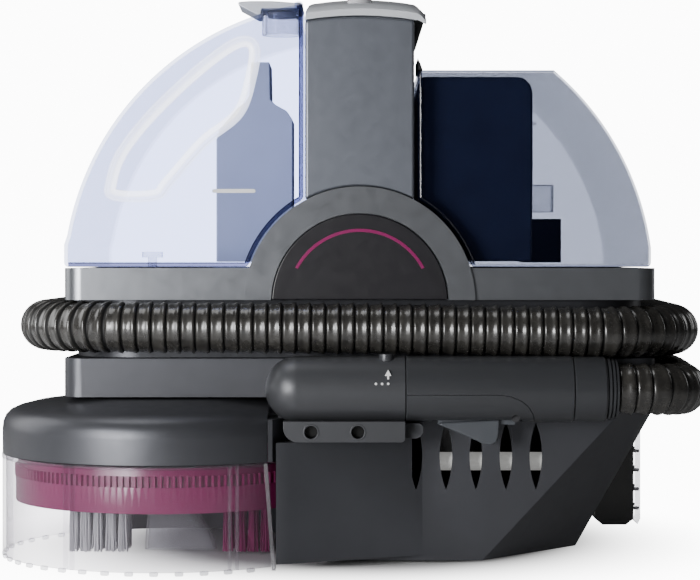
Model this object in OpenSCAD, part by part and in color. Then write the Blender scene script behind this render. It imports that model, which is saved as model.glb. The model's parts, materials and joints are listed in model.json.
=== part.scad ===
// Portable spot cleaning machine: a hands-free brush dome in front, a clean tank and a dirty tank
// either side of a handle tower, and a corrugated suction hose wound round the waist.
// Frame: +Z up, +X to the machine's right as seen from the front, front faces -Y.
// Origin: floor level, middle of the machine with its hose.

/* [Body] */
// Width of the body without the hose
body_w = 370; // [366:1:372]
// Front face of the body
body_front = -114.5; // [-116:0.5:-113]
// Back face of the body
body_back = 139; // [137:0.5:140]
// Plan radius of the body's rear corners
rear_corner_r = 24; // [20:1:30]
// Plan radius of the body's front corners
front_corner_r = 12; // [8:1:16]
// Height of the lower housing
housing_top = 127.5; // [126:0.5:128]
// Wall thickness of the mouldings
wall = 3; // [2.5:0.1:3.4]
// Width of the body at the floor, on the right
floor_right = 140.5; // [138:0.5:143]

/* [Tanks and tower] */
// Underside of the tank deck
deck_low = 163.6; // [163:0.1:164]
// Top of the tank deck
deck_top = 183.5; // [183:0.1:184]
// Radius of the tank outline
tank_r = 178; // [176:0.5:179]
// Height of the dirty tank's flat top
dirty_top = 307; // [300:1:310]
// Half width of the handle tower
tower_half = 34; // [32:0.5:34.5]
// Outer radius of the arch between the tanks
arch_r = 71.8; // [70:0.1:72]
// Radius of the dark half disc in the arch
badge_r = 54.7; // [50:0.1:56]

/* [Brush dome] */
// Outer radius of the dome
dome_r = 106; // [104:0.5:106]
// Pitch radius of the toothed brush ring
ring_pitch_r = 97.5; // [97.5:0.1:97.5]
// Teeth on the brush ring
ring_teeth = 156; // [156:1:156]
// Teeth on the drive pinion
pinion_teeth = 14; // [14:1:14]

/* [Hose and grip] */
// Radius of the hose over its ribs
hose_r = 16; // [15.5:0.1:16.4]
// Radius of the docked grip
grip_r = 20.2; // [19:0.1:20.5]
// Height of the grip's axis
grip_z = 109.6; // [109:0.1:110]

/* [Hidden] */
$fn = 64;

half_w = body_w / 2;
waist_half = half_w - 3;
waist_front = body_front + 10;
waist_back = body_back - 5;
shell_split = 45;
part_gap = 0.3;
brush_x = -122.5;
brush_y = -68.5;
chamber_r = dome_r + 2.5;
flange_x = -51;
pinion_turn = 30;
module_mm = 2 * ring_pitch_r / ring_teeth;
pinion_pitch_r = module_mm * pinion_teeth / 2;
pinion_x = brush_x + (ring_pitch_r + pinion_pitch_r) * cos(pinion_turn);
pinion_y = brush_y + (ring_pitch_r + pinion_pitch_r) * sin(pinion_turn);
arch_z = 162.4;
tank_front = -112;
tank_back = 128;
tank_floor = deck_top + 0.6;
tank_wall = 2.5;
grip_y = -134.5;
fan_x = 62;
fan_y = 62;
tool_y0 = 7;
tool_y1 = 36;
neck_x = -50;
neck_y = -60;
button_y = [-92, -66];
vent_x = [34.9, 53.6, 72.2, 90.9, 109.5];
vent_z = 66.5;
board_y = 100;

// The right side leans in towards the floor, and the front right corner is cut by a slanted plane.
side_top = [half_w, 0, 92];
side_foot = [floor_right, 0, 0];
cut_a = [144.4, body_front, 74.7];
cut_b = [75, body_front, 0];
cut_c = [floor_right, -47.5, 0];
side_n = unit(cross(side_foot - side_top, [0, 1, 0]));
cut_n = unit(cross(cut_b - cut_a, cut_c - cut_a));

function unit(v) = v / norm(v);

// --- shared shapes -------------------------------------------------------------------------
module slab(low, high) {
    translate(low) cube(high - low);
}

// A rectangle with rounded corners, of radius r at the front and back_r at the back
module rounded(low, high, r, back_r) {
    difference() {
        translate(low) square(high - low);
        for (corner = [[low[0], low[1], r, r], [high[0], low[1], -r, r],
                [low[0], high[1], back_r, -back_r], [high[0], high[1], -back_r, -back_r]])
            difference() {
                translate([corner[0], corner[1]]) square(2 * abs(corner[2]), center = true);
                translate([corner[0] + corner[2], corner[1] + corner[3]]) circle(r = abs(corner[2]));
            }
    }
}

// Everything further along the direction n than d
module beyond(n, d) {
    rotate([0, acos(n[2]), atan2(n[1], n[0])]) translate([-500, -500, d]) cube([1000, 1000, 500]);
}

// An XZ outline run along Y from y0 to y1
module along_y(y0, y1) {
    translate([0, y1, 0]) rotate([90, 0, 0]) linear_extrude(y1 - y0) children();
}

// A YZ outline run along X from x0 to x1
module along_x(x0, x1) {
    translate([x0, 0, 0]) rotate([90, 0, 90]) linear_extrude(x1 - x0) children();
}

module rod_x(x0, x1, y, z, r) {
    translate([x0, y, z]) rotate([0, 90, 0]) cylinder(r = r, h = x1 - x0);
}

module rod_y(x, y0, y1, z, r) {
    translate([x, y1, z]) rotate([90, 0, 0]) cylinder(r = r, h = y1 - y0);
}

module rod_z(x, y, z0, z1, r) {
    translate([x, y, z0]) cylinder(r = r, h = z1 - z0);
}

module body_plan(inset) {
    rounded([-half_w + inset, body_front + inset], [half_w - inset, body_back - inset],
        front_corner_r - inset, rear_corner_r - inset);
}

module waist_plan(inset) {
    rounded([-waist_half + inset, waist_front + inset], [waist_half - inset, waist_back - inset],
        45 - inset, 45 - inset);
}

// --- lower body ----------------------------------------------------------------------------
module body_block(inset, z0, z1) {
    difference() {
        translate([0, 0, z0]) linear_extrude(z1 - z0) body_plan(inset);
        beyond(side_n, side_n * side_top - inset);
        beyond(cut_n, cut_n * cut_a - inset);
    }
}

module brush_bay(r, z0, z1) {
    rod_z(brush_x, brush_y, z0, z1, r);
}

module housing_shell() {
    difference() {
        union() {
            body_block(0, 1.5, housing_top);
            translate([0, 0, housing_top - 1]) linear_extrude(deck_low - part_gap - housing_top + 1) waist_plan(0);
        }
        difference() {
            body_block(wall, -1, housing_top - wall);
            brush_bay(chamber_r + 2.5, -2, 106);
            slab([154.5, -0.5, -2], [200, 43.5, 94.5]);
        }
        translate([0, 0, housing_top - wall - 1]) linear_extrude(deck_low - housing_top + wall + 2) waist_plan(wall);
        brush_bay(chamber_r, -1, 103.2);
        slab([157, 2, -1], [200, 41, 92]);
    }
}

// Bulge that follows the brush ring in front of the body
module ring_cheek() {
    difference() {
        translate([0, 0, 5]) linear_extrude(73.2)
            polygon([[flange_x + 0.3, -153.5], [-42, -151.5], [40, body_front], [flange_x + 0.3, body_front]]);
        brush_bay(chamber_r, -1, 103.2);
        translate([0, 0, 8]) linear_extrude(67.2) polygon([[-31, -143.2], [26, -117.5], [-16, -117.5]]);
    }
}

module vent_slots() {
    slot_r = 53.6;
    slot_half = 3.95;
    for (x = vent_x) along_y(body_front - 1, body_front + wall + 1) intersection() {
        translate([x - slot_r + slot_half, vent_z]) circle(r = slot_r, $fn = 180);
        translate([x + slot_r - slot_half, vent_z]) circle(r = slot_r, $fn = 180);
    }
}

module front_housing() {
    color([0.3, 0.31, 0.33]) {
        difference() {
            union() {
                intersection() {
                    housing_shell();
                    slab([-250, -200, 0], [250, shell_split - part_gap / 2, 170]);
                }
                ring_cheek();
                rod_x(157, 160.5, 21.5, 60, 5);
                rod_x(157, 172, 21.5, 60, 3);
            }
            vent_slots();
            rod_z(pinion_x, pinion_y, 40, 106.5, 12.5);
        }
    }
}

module rear_housing() {
    color([0.29, 0.3, 0.32]) difference() {
        intersection() {
            housing_shell();
            slab([-250, shell_split + part_gap / 2, 0], [250, 200, 170]);
        }
        for (k = [0:7]) slab([10 + 12 * k, body_back - 6, 30], [16 + 12 * k, body_back + 1, 78]);
        rod_y(-120, body_back - 8, body_back + 1, 45, 7.05);
        rod_y(80, waist_back - 8, waist_back + 1, 146.5, 13.05);
    }
}

module base_pan() {
    color([0.2, 0.2, 0.21]) difference() {
        body_block(wall + part_gap, 5, 8.5);
        brush_bay(chamber_r + 2.8, 0, 20);
        slab([154.2, -0.8, 0], [200, 43.8, 20]);
        for (p = feet_at()) rod_z(p[0], p[1], 4, 7, 4.05);
        for (p = screws_at()) rod_z(p[0], p[1], 4, 9, 2.05);
    }
}

function feet_at() = [[-160, 116], [118, 116], [66, -92], [0, -96]];
function screws_at() = [[-150, 90], [126, 96], [20, -85], [-60, 110], [124, 30]];

module rubber_feet() {
    color([0.1, 0.1, 0.1]) for (p = feet_at()) {
        rod_z(p[0], p[1], 0, 4.9, 9);
        rod_z(p[0], p[1], 4.8, 6.9, 4);
    }
}

module base_screws() {
    color([0.6, 0.6, 0.62]) for (p = screws_at()) {
        rod_z(p[0], p[1], 3, 4.9, 3.6);
        rod_z(p[0], p[1], 4.8, 16, 2);
    }
}

// --- deck, arch and tower ------------------------------------------------------------------
module tank_deck() {
    color([0.62, 0.63, 0.65]) difference() {
        union() {
            difference() {
                translate([0, 0, deck_low]) linear_extrude(deck_top - deck_low) body_plan(0);
                translate([0, 0, deck_low - 1]) linear_extrude(deck_top - deck_low + 1 - wall) body_plan(wall);
            }
            along_y(body_front - 2, tank_back - 2) intersection() {
                translate([0, arch_z]) circle(r = arch_r, $fn = 180);
                translate([-100, deck_top - 1]) square([200, 100]);
            }
            along_y(body_front - 2, body_front + 1) intersection() {
                translate([0, arch_z]) circle(r = arch_r, $fn = 180);
                translate([-100, deck_low]) square([200, 100]);
            }
        }
        along_y(body_front + 6, tank_back - 5)
            intersection() {
                translate([0, arch_z]) circle(r = arch_r - wall, $fn = 180);
                translate([-100, deck_low - 1]) square([200, 100]);
            }
        along_y(body_front - 3, body_front + 3.5)
            translate([0, arch_z]) circle(r = badge_r + part_gap, $fn = 180);
        slab([-20, -30, 215], [20, 100, 240]);
        rod_z(-140, 0, deck_top - 8, deck_top + 1, 8);
        rod_z(90, 70, deck_top - 8, deck_top + 1, 14);
    }
}

module badge_plate() {
    color([0.13, 0.13, 0.15]) along_y(body_front - 2.6, body_front + 3.4) intersection() {
        translate([0, arch_z]) circle(r = badge_r, $fn = 180);
        translate([-100, deck_low]) square([200, 100]);
    }
}

module tower_outline(inset) {
    difference() {
        translate([-tower_half + inset, 200]) square([2 * (tower_half - inset), 137.7 - inset]);
        translate([0, arch_z]) circle(r = arch_r + part_gap, $fn = 180);
    }
}

module tower_front() {
    color([0.46, 0.48, 0.51]) difference() {
        along_y(body_front + 1.2, -40) tower_outline(0);
        along_y(body_front + 4.2, -43) tower_outline(wall);
        slab([-20, -60, 200], [20, -45, 260]);
    }
}

module tower_rear() {
    color([0.44, 0.46, 0.49]) difference() {
        along_y(-39.7, tank_back - 2) tower_outline(0);
        slab([-50, -45, 300], [50, 92, 340]);
        slab([-tower_half + wall, 95, 290], [tower_half - wall, tank_back - 5, 334.7]);
        difference() {
            slab([-tower_half + wall, -36.7, 200], [tower_half - wall, tank_back - 5, 297]);
            along_y(-50, 140) translate([0, arch_z]) circle(r = arch_r + part_gap, $fn = 180);
        }
        rod_y(0, tank_back - 7, tank_back, 318, 9.3);
    }
}

module top_cap() {
    color([0.72, 0.74, 0.77]) difference() {
        union() {
            intersection() {
                along_x(-tower_half - 1, tower_half + 1) polygon([[body_front + 1, 338], [body_front + 1, 345],
                    [-104, 349], [-40, 360], [0, 365.5], [40, 368], [90, 367.5], [tank_back - 8, 364],
                    [tank_back - 2, 357], [tank_back - 2, 338]]);
                along_y(body_front, tank_back) intersection() {
                    translate([4, 368 - 250]) circle(r = 250, $fn = 360);
                    translate([-tower_half, 300]) square([2 * tower_half, 100]);
                }
            }
            along_y(-104, 92) polygon([[tower_half - 4, 346], [tower_half - 4, 354], [tower_half, 353], [38.5, 350.5],
                [41.8, 345.6], [41.8, 344], [39, 343]]);
        }
        slab([-tower_half + 4, -34, 337], [tower_half - 10, 86, 341]);
        along_x(-28, 22) polygon([[-108, 337], [-108, 340], [-40, 352], [0, 358], [90, 359], [118, 355], [118, 337]]);
        for (y = button_y) rod_z(0, y, 344, 370, 8.1);
    }
}

// Dark soft liner under the handle's overhanging lip
module handle_insert() {
    color([0.06, 0.06, 0.07]) {
        along_y(-104, 92) polygon([[tower_half + 0.4, 331.5], [tower_half + 0.4, 343.5], [38.6, 342.6],
            [40.5, 343.2], [41, 341], [38, 334]]);
        slab([-tower_half + 4.3, -33.7, 336.5], [tower_half - 10.3, 85.7, 340.9]);
    }
}

module power_button() {
    color([0.55, 0.08, 0.1]) rod_y(0, tank_back - 6, tank_back + 1.5, 318, 9);
}

module cycle_button(y, top) {
    rod_z(0, y, 346.3, top, 8);
}

module surface_button() { color([0.8, 0.8, 0.82]) cycle_button(button_y[0], 352.2); }
module deep_button() { color([0.42, 0.1, 0.3]) cycle_button(button_y[1], 356.4); }

// --- clean tank ----------------------------------------------------------------------------
module clean_outline(inset) {
    difference() {
        intersection() {
            translate([-7.4, 172.7]) circle(r = tank_r - inset, $fn = 360);
            translate([-half_w + 0.4 + inset, tank_floor + inset])
                square([half_w - 0.4 - tower_half - 1.2 - 2 * inset, 200]);
        }
        translate([0, arch_z]) circle(r = arch_r + 1.2 + inset, $fn = 180);
    }
}

module clean_block(inset) {
    intersection() {
        along_y(tank_front + inset, tank_back - inset) clean_outline(inset);
        translate([0, 0, 180]) linear_extrude(200)
            rounded([-half_w + inset, tank_front + inset], [20, tank_back - inset], 20 - inset, 20 - inset);
    }
}

module clean_tank() {
    color([0.82, 0.87, 0.95, 0.4]) difference() {
        union() {
            difference() {
                clean_block(0);
                clean_block(tank_wall);
            }
            intersection() {
                rod_z(neck_x, neck_y, 330, 347.9, 13);
                slab([-80, -90, 335], [-35.2, -30, 349]);
            }
        }
        rod_z(neck_x, neck_y, 325, 350, 11);
        rod_z(-140, 0, 180, 192, 3.05);
        for (side = [-1, 1]) rod_y(-38.5, neck_y - 20, neck_y + 20, 351, 1);
    }
    color([0.82, 0.87, 0.95, 0.4]) for (y = [neck_y - 22.5, neck_y + 19.5]) difference() {
        slab([-41.5, y, 343.5], [-36, y + 3, 353.5]);
        rod_y(-38.5, y - 1, y + 4, 351, 1.5);
        clean_block(0);
    }
}

module tank_column() {
    color([0.55, 0.6, 0.66]) difference() {
        union() {
            translate([0, 0, tank_floor + tank_wall + 0.2]) linear_extrude(92) rounded([-99, 28], [-46, 86], 10, 10);
            along_y(38, 76) polygon([[-99, 270], [-99, 281], [-82, 296], [-60, 296], [-46, 288], [-46, 270]]);
            rod_z(-68.5, 57, 290, 328, 6);
        }
        along_y(0, 100) translate([0, arch_z]) circle(r = arch_r + 1.5 + tank_wall, $fn = 180);
    }
}

module clean_tank_cap() {
    color([0.7, 0.72, 0.75]) difference() {
        union() {
            along_y(neck_y - 19.2, neck_y + 19.2) polygon([[-41, 349.6], [-63, 349.3], [-63.5, 345.3], [-65, 345],
                [-77.5, 351.5], [-77.5, 353.5], [-70, 354.3], [-41, 353]]);
            rod_y(-38.5, neck_y - 19.2, neck_y + 19.2, 351, 2.6);
            slab([-42, neck_y - 19.2, 349.6], [-38.5, neck_y + 19.2, 353]);
        }
        rod_y(-38.5, neck_y - 30, neck_y + 30, 351, 1.55);
        slab([-65, neck_y - 14, 340], [-60.4, neck_y + 14, 349.2]);
    }
}

module cap_hinge_pin() {
    color([0.7, 0.7, 0.72]) rod_y(-38.5, neck_y - 23, neck_y + 23, 351, 1.5);
}

module cap_gasket() {
    color([0.12, 0.12, 0.14]) rod_z(neck_x, neck_y, 345.5, 349.3, 9.3);
}

module clean_tank_valve() {
    color([0.75, 0.75, 0.78]) {
        rod_z(-140, 0, 181.6, 194, 3);
        rod_z(-140, 0, tank_floor + tank_wall + 3.6, 194, 7);
    }
}

// --- dirty tank ----------------------------------------------------------------------------
module dirty_outline(inset, lift) {
    difference() {
        intersection() {
            translate([7.4, 172.7]) circle(r = tank_r - 2 - inset, $fn = 360);
            translate([tower_half + 5 + inset, tank_floor + inset + lift])
                square([half_w - tower_half - 5.4 - 2 * inset, dirty_top - tank_floor - 2 * inset - lift]);
        }
        translate([0, arch_z]) circle(r = arch_r + 1.2 + inset, $fn = 180);
    }
}

module dirty_block(inset) {
    intersection() {
        along_y(tank_front + inset, tank_back - inset) dirty_outline(inset, 0);
        translate([0, 0, 180]) linear_extrude(200)
            rounded([-20, tank_front + inset], [half_w - inset, tank_back - inset], 20 - inset, 20 - inset);
    }
}

module dirty_tank() {
    color([0.35, 0.38, 0.48, 0.5]) difference() {
        dirty_block(0);
        dirty_block(tank_wall);
        rod_z(90, 70, 180, 192, 11);
        rod_y(100, tank_back - 6, tank_back + 1, 215, 12);
    }
}

module separator() {
    color([0.1, 0.11, 0.17]) difference() {
        intersection() {
            along_y(-96, 52) dirty_outline(tank_wall + 0.4, 0);
            slab([30, -100, 180], [109, 60, 310]);
        }
        intersection() {
            along_y(-93, 49) dirty_outline(tank_wall + 2.9, -20);
            slab([30, -93, 170], [106.5, 49, 300]);
        }
        slab([110, -200, 0], [300, 200, 400]);
    }
    color([0.1, 0.11, 0.17]) difference() {
        slab([108, -10, 262], [122, 10, 265]);
        rod_z(116, 0, 260, 270, 1.6);
    }
}

module float_cage() {
    color([0.1, 0.11, 0.17]) difference() {
        slab([110.2, -20, tank_floor + tank_wall + 0.2], [135, 20, 216]);
        slab([112.5, -17.5, 190], [132.5, 17.5, 214]);
        for (y = [-14, -4, 6]) slab([130, y, 194], [140, y + 6, 210]);
    }
}

module tank_float() {
    color([0.75, 0.77, 0.8]) {
        translate([0, 0, 221]) linear_extrude(18) rounded([109.5, -14], [131, 14], 5, 5);
        rod_z(116, 0, 238, 280, 1.5);
        slab([112, -2, 280], [120, 2, 282]);
    }
}

module dirty_tank_plug() {
    color([0.12, 0.12, 0.14]) {
        rod_y(100, tank_back - 4, tank_back + 0.2, 215, 11.9);
        rod_y(100, tank_back + 0.2, tank_back + 4, 215, 15);
    }
}

module tank_seals() {
    color([0.1, 0.1, 0.1]) {
        difference() {
            rod_z(-140, 0, deck_top - 2, deck_top + 0.3, 7.9);
            rod_z(-140, 0, deck_top - 3, deck_top + 1, 4.5);
        }
        difference() {
            rod_z(90, 70, deck_top - 2, deck_top + 0.3, 13.9);
            rod_z(90, 70, deck_top - 3, deck_top + 1, 10);
        }
    }
}

// --- brush dome ----------------------------------------------------------------------------
module dome_side_cut() {
    slab([flange_x, -200, -5], [20, body_front + 0.2, 110]);
}

module brush_cover() {
    color([0.37, 0.38, 0.4]) difference() {
        translate([brush_x, brush_y, 0]) rotate_extrude($fn = 180)
            polygon([[0, 98], [0, 101.5], [62, 101.5], [100, 93.5], [104.5, 91], [dome_r, 87], [dome_r, 66.2],
                [dome_r - wall, 66.2], [dome_r - wall, 87], [98, 90.3], [62, 98]]);
        dome_side_cut();
        rod_z(brush_x, brush_y, 90, 110, 12);
        rod_z(pinion_x, pinion_y, 60, 101, 12.5);
    }
}

module window_wall(r0, r1, z0, z1) {
    difference() {
        brush_bay(r1, z0, z1);
        brush_bay(r0, z0 - 1, z1 + 1);
        dome_side_cut();
        slab([-half_w - 0.4, body_front - 0.4, -5], [50, 120, 110]);
        slab([-300, 20, -5], [50, 120, 110]);
    }
}

module brush_window() {
    tip_count = 44;
    color([0.9, 0.9, 0.95, 0.35]) {
        difference() {
            window_wall(dome_r - 2.2, dome_r, 1, 66);
            for (k = [0:tip_count - 1]) translate([brush_x, brush_y, 0]) rotate([0, 0, k * 360 / tip_count])
                slab([dome_r - 5, -5, 0], [dome_r + 5, 5, 2.6]);
        }
        difference() {
            slab([flange_x - 2.4, -146, 3], [flange_x, body_front - 0.4, 66]);
            brush_bay(dome_r - 3, 0, 70);
        }
    }
}

module brush_spindle() {
    color([0.2, 0.2, 0.21]) difference() {
        rod_z(brush_x, brush_y, 50, 103, 12);
        rod_z(brush_x, brush_y, 49, 104, 9);
    }
}

// One tooth outline as four corners, centred on direction a
function tooth(pitch_r, teeth, a) = let (step = 360 / teeth, m = 2 * pitch_r / teeth)
    [for (p = [[-0.2, -0.85], [-0.08, 0.65], [0.08, 0.65], [0.2, -0.85]])
        let (r = pitch_r + m * p[1]) r * [cos(a + step * p[0]), sin(a + step * p[0])]];

module gear_outline(pitch_r, teeth, start) {
    polygon([for (k = [0:teeth - 1]) each tooth(pitch_r, teeth, start + k * 360 / teeth)]);
}

module brush_ring() {
    color([0.45, 0.06, 0.27]) difference() {
        union() {
            brush_bay(97.6, 36.8, 52.6);
            translate([brush_x, brush_y, 52.5]) linear_extrude(6.6)
                gear_outline(ring_pitch_r, ring_teeth, pinion_turn);
            brush_bay(96.3, 59, 64);
        }
        brush_bay(92, 30, 70);
    }
}

module brush_arm() {
    color([0.16, 0.16, 0.17]) difference() {
        union() {
            intersection() {
                slab([brush_x - 95, brush_y - 17, 42], [brush_x + 95, brush_y + 17, 50]);
                brush_bay(91.9, 30, 70);
            }
            rod_z(brush_x, brush_y, 42, 62, 17);
            slab([-187, -85.5, 36], [-141, -51.5, 42.1]);
            slab([-88, -85.5, 36], [-55, -51.5, 42.1]);
        }
        rod_z(brush_x, brush_y, 49, 70, 12.05);
        rod_z(brush_x, brush_y, 41, 50, 9);
    }
}

module tufts(xs) {
    for (x = xs, y = [-80, -68.5, -57]) rod_z(x, y, 2, 35.9, 2.4, $fn = 24);
}

module bristles_clear() { color([0.9, 0.9, 0.92]) tufts([-183:8:-145]); }
module bristles_plum() { color([0.5, 0.08, 0.3]) tufts([-84, -76, -68, -60]); }

module suction_nozzle() {
    color([0.88, 0.9, 0.92, 0.4]) difference() {
        hull() {
            slab([-138, -75, 2.5], [-92, -62, 8]);
            rod_z(brush_x, brush_y, 34, 41.8, 13, $fn = 32);
        }
        hull() {
            slab([-136, -73, 2], [-94, -64, 6]);
            rod_z(brush_x, brush_y, 34, 42.5, 9, $fn = 32);
        }
    }
}

module spray_nozzle() {
    color([0.15, 0.15, 0.16]) {
        rod_z(-98, -79, 33, 41.8, 4);
        rod_z(-98, -79, 29, 33, 2.5);
    }
}

module drive_pinion() {
    color([0.85, 0.85, 0.8]) {
        translate([pinion_x, pinion_y, 52.9]) linear_extrude(7.1)
            gear_outline(pinion_pitch_r, pinion_teeth, pinion_turn + 180 + 180 / pinion_teeth);
        rod_z(pinion_x, pinion_y, 59.9, 70, 3);
    }
}

module brush_motor() {
    color([0.55, 0.56, 0.58]) difference() {
        union() {
            rod_z(pinion_x + 4, pinion_y + 2, 106.4, 124, 22);
            rod_z(pinion_x, pinion_y, 66.4, 106.5, 9);
        }
        rod_z(pinion_x, pinion_y, 60, 71, 3.05);
    }
}

// --- dock and grip -------------------------------------------------------------------------
module dock_cradle() {
    color([0.27, 0.28, 0.3]) difference() {
        union() {
            rod_x(-58 + grip_r, 27.6, grip_y, grip_z, grip_r);
            translate([-58 + grip_r, grip_y, grip_z]) sphere(r = grip_r);
            slab([-50, grip_y, grip_z - grip_r + 0.2], [27.6, body_front - 0.1, grip_z + 14]);
            slab([-44, -152, 78.7], [27.3, body_front - 0.1, 90.5]);
        }
        rod_x(-12, 40, grip_y, grip_z, 15.05);
        slab([-60, body_front - 0.1, 80], [30, body_front + 10, 140]);
        for (x = [-29.6, -1.3]) {
            rod_y(x, -153, -144, 84.5, 3.9);
            rod_y(x, -145, body_front, 84.5, 1.6);
        }
        rod_z(16, -140.5, 110, 131, 4.55);
    }
}

module dock_screws() {
    color([0.08, 0.08, 0.08]) for (x = [-29.6, -1.3]) {
        rod_y(x, -147, -144.1, 84.5, 3.5);
        rod_y(x, -145, body_front - 0.3, 84.5, 1.5);
    }
}

module release_button() {
    color([0.35, 0.36, 0.38]) rod_z(16, -140.5, 126.9, 131.2, 4.5);
}

module grip_tube(x0, x1) {
    difference() {
        rod_x(x0, x1, grip_y, grip_z, grip_r);
        rod_x(x0 - 1, x1 + 1, grip_y, grip_z, 15.1);
        slab([x0 - 1, body_front - 0.3, 80], [x1 + 1, body_front + 10, 140]);
    }
}

module grip_upper() {
    color([0.25, 0.26, 0.28]) difference() {
        grip_tube(27.9, 129.6);
        slab([20, -170, 80], [100.2, -100, 106.9]);
    }
}

module grip_lower() {
    color([0.24, 0.25, 0.27]) difference() {
        grip_tube(27.9, 99.9);
        slab([20, -170, 106.6], [110, -100, 140]);
        slab([44, grip_y - 5.5, 80], [98.9, grip_y + 5.5, 106]);
        rod_y(94.5, -150, -120, 92.2, 2.42);
    }
}

module grip_nose() {
    color([0.2, 0.2, 0.22]) difference() {
        rod_x(-8, 129.6, grip_y, grip_z, 15);
        rod_x(-9, 131, grip_y, grip_z, 12.5);
        slab([30, grip_y - 6, 88], [100.5, grip_y + 6, 104]);
    }
}

module trigger() {
    color([0.35, 0.37, 0.39]) difference() {
        union() {
            along_y(grip_y - 5, grip_y + 5) polygon([[47.4, 91.8], [47.4, 93], [94, 96.5], [94.5, 88], [84, 88.5],
                [83.9, 81.4], [79.6, 75.9], [74.7, 76.5]]);
            rod_y(94.5, grip_y - 5, grip_y + 5, 92.2, 4.3);
        }
        rod_y(94.5, grip_y - 6, grip_y + 6, 92.2, 2.45);
    }
}

module trigger_pin() {
    color([0.5, 0.5, 0.52]) rod_y(94.5, grip_y - 9.8, grip_y + 9.8, 92.2, 2.4);
}

module hose_collar() {
    color([0.22, 0.23, 0.25]) difference() {
        union() {
            rod_x(129.9, 150, grip_y, grip_z, grip_r - 0.4);
            for (k = [0:2]) rod_x(150 + 3 * k, 151.8 + 3 * k, grip_y, grip_z, 19 - 0.6 * k);
            rod_x(149.9, 157.3, grip_y, grip_z, 16.6);
        }
        rod_x(129, 158, grip_y, grip_z, 12.5);
    }
}

// --- hose ----------------------------------------------------------------------------------
// Points the hose passes near, from the collar round the body to the port at the back
hose_points = [[157.8, -134.5, 109.6], [166.5, -134.5, 109.6], [181.1, -131.8, 109.2],
    [192.6, -124, 108.7], [200, -112, 108.3], [202.5, -97, 108.1], [204.4, -70, 108], [208.6, -30, 108],
    [212.4, 30, 108], [210, 90, 108], [204.4, 123, 108], [191.8, 145.6, 108], [170, 157, 108],
    [140, 159, 108], [90, 159, 109], [30, 158, 113], [-30, 158, 124], [-90, 158, 138],
    [-140, 155, 145.5], [-180, 138, 147], [-201, 104, 147], [-203.5, 50, 147], [-203.5, -10, 147],
    [-203, -59.5, 147], [-197.5, -84.6, 147], [-182.6, -105.1, 147], [-161.5, -118.6, 147],
    [-137, -122.6, 146.8], [-60, -122.6, 146.4], [0, -122.6, 146], [60, -122.6, 145.3],
    [137, -122.6, 144.1], [161.5, -118.6, 144], [182.6, -105.1, 144], [197.5, -84.6, 144],
    [203, -59.5, 144.2], [203.5, -10, 145], [203.5, 50, 146], [202, 98, 146.5], [189, 134, 146.5],
    [158, 153, 146.5], [125, 158, 146.5], [100, 158, 146.5]];
hose_sides = 12;
hose_steps = 2;

// A point of the smooth curve through p, at index k plus the fraction t
function spline(p, k, t) = let (n = len(p) - 1,
        a = p[max(k - 1, 0)], b = p[k], c = p[min(k + 1, n)], d = p[min(k + 2, n)])
    0.5 * (2 * b + (c - a) * t + (2 * a - 5 * b + 4 * c - d) * t * t + (3 * b - a - 3 * c + d) * t * t * t);
function route(p) = concat([for (k = [0:len(p) - 2], s = [0:hose_steps - 1]) spline(p, k, s / hose_steps)],
    [p[len(p) - 1]]);
function heading(q, k) = unit(k == 0 ? [1, 0, 0] : k == len(q) - 1 ? [-1, 0, 0] : q[k + 1] - q[k - 1]);
function ring_at(centre, dir, r, sides) = let (side = unit(cross(dir, [0, 0, 1])), up = cross(side, dir))
    [for (s = [0:sides - 1]) centre + r * (cos(360 * s / sides) * side + sin(360 * s / sides) * up)];

module swept_tube(points, r, sides) {
    q = route(points);
    rings = len(q);
    verts = [for (k = [0:rings - 1]) each ring_at(q[k], heading(q, k), r, sides)];
    walls = [for (k = [0:rings - 2], s = [0:sides - 1]) let (a = k * sides + s, b = k * sides + (s + 1) % sides)
        [a, b, b + sides, a + sides]];
    ends = [[for (s = [sides - 1:-1:0]) s], [for (s = [0:sides - 1]) (rings - 1) * sides + s]];
    polyhedron(verts, concat(walls, ends), convexity = 10);
}

module hose() {
    color([0.5, 0.5, 0.5]) swept_tube(hose_points, hose_r, hose_sides);
}

module hose_port() {
    color([0.2, 0.2, 0.22]) difference() {
        union() {
            rod_x(66, 99.8, 157.8, 146.5, 16.6);
            rod_y(80, waist_back - 6, 152, 146.5, 13);
        }
        rod_x(70, 101, 157.8, 146.5, 12.5);
        rod_y(80, waist_back - 7, 154, 146.5, 10);
    }
}

module hose_rests() {
    color([0.24, 0.25, 0.27]) {
        slab([140, body_back + 0.1, 87], [152, 173, 91.7]);
        slab([140, body_back + 0.1, 74], [152, 145, 87.1]);
        slab([-136, body_back + 0.1, 123.4], [-124, 172, 127.4]);
        slab([-136, body_back + 0.1, 110], [-124, 145, 123.5]);
    }
}

// --- inside --------------------------------------------------------------------------------
module fan_housing() {
    color([0.3, 0.3, 0.32]) difference() {
        union() {
            rod_z(fan_x, fan_y, 8.7, 44, 56);
            slab([fan_x, fan_y + 20, 12], [fan_x + 50, fan_y + 56, 40]);
        }
        rod_z(fan_x, fan_y, 12, 41, 52);
        rod_z(fan_x, fan_y, 8, 50, 12);
        slab([fan_x + 10, fan_y + 23, 15], [fan_x + 60, fan_y + 53, 37]);
    }
}

module fan_rotor() {
    color([0.7, 0.7, 0.72]) {
        rod_z(fan_x, fan_y, 15, 17, 46);
        difference() {
            rod_z(fan_x, fan_y, 34, 36, 46);
            rod_z(fan_x, fan_y, 33, 37, 20);
        }
        for (k = [0:8]) translate([fan_x, fan_y, 16]) rotate([0, 0, 40 * k]) slab([18, -1, 0], [45, 1, 18.5]);
        rod_z(fan_x, fan_y, 16, 70, 4);
    }
}

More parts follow.
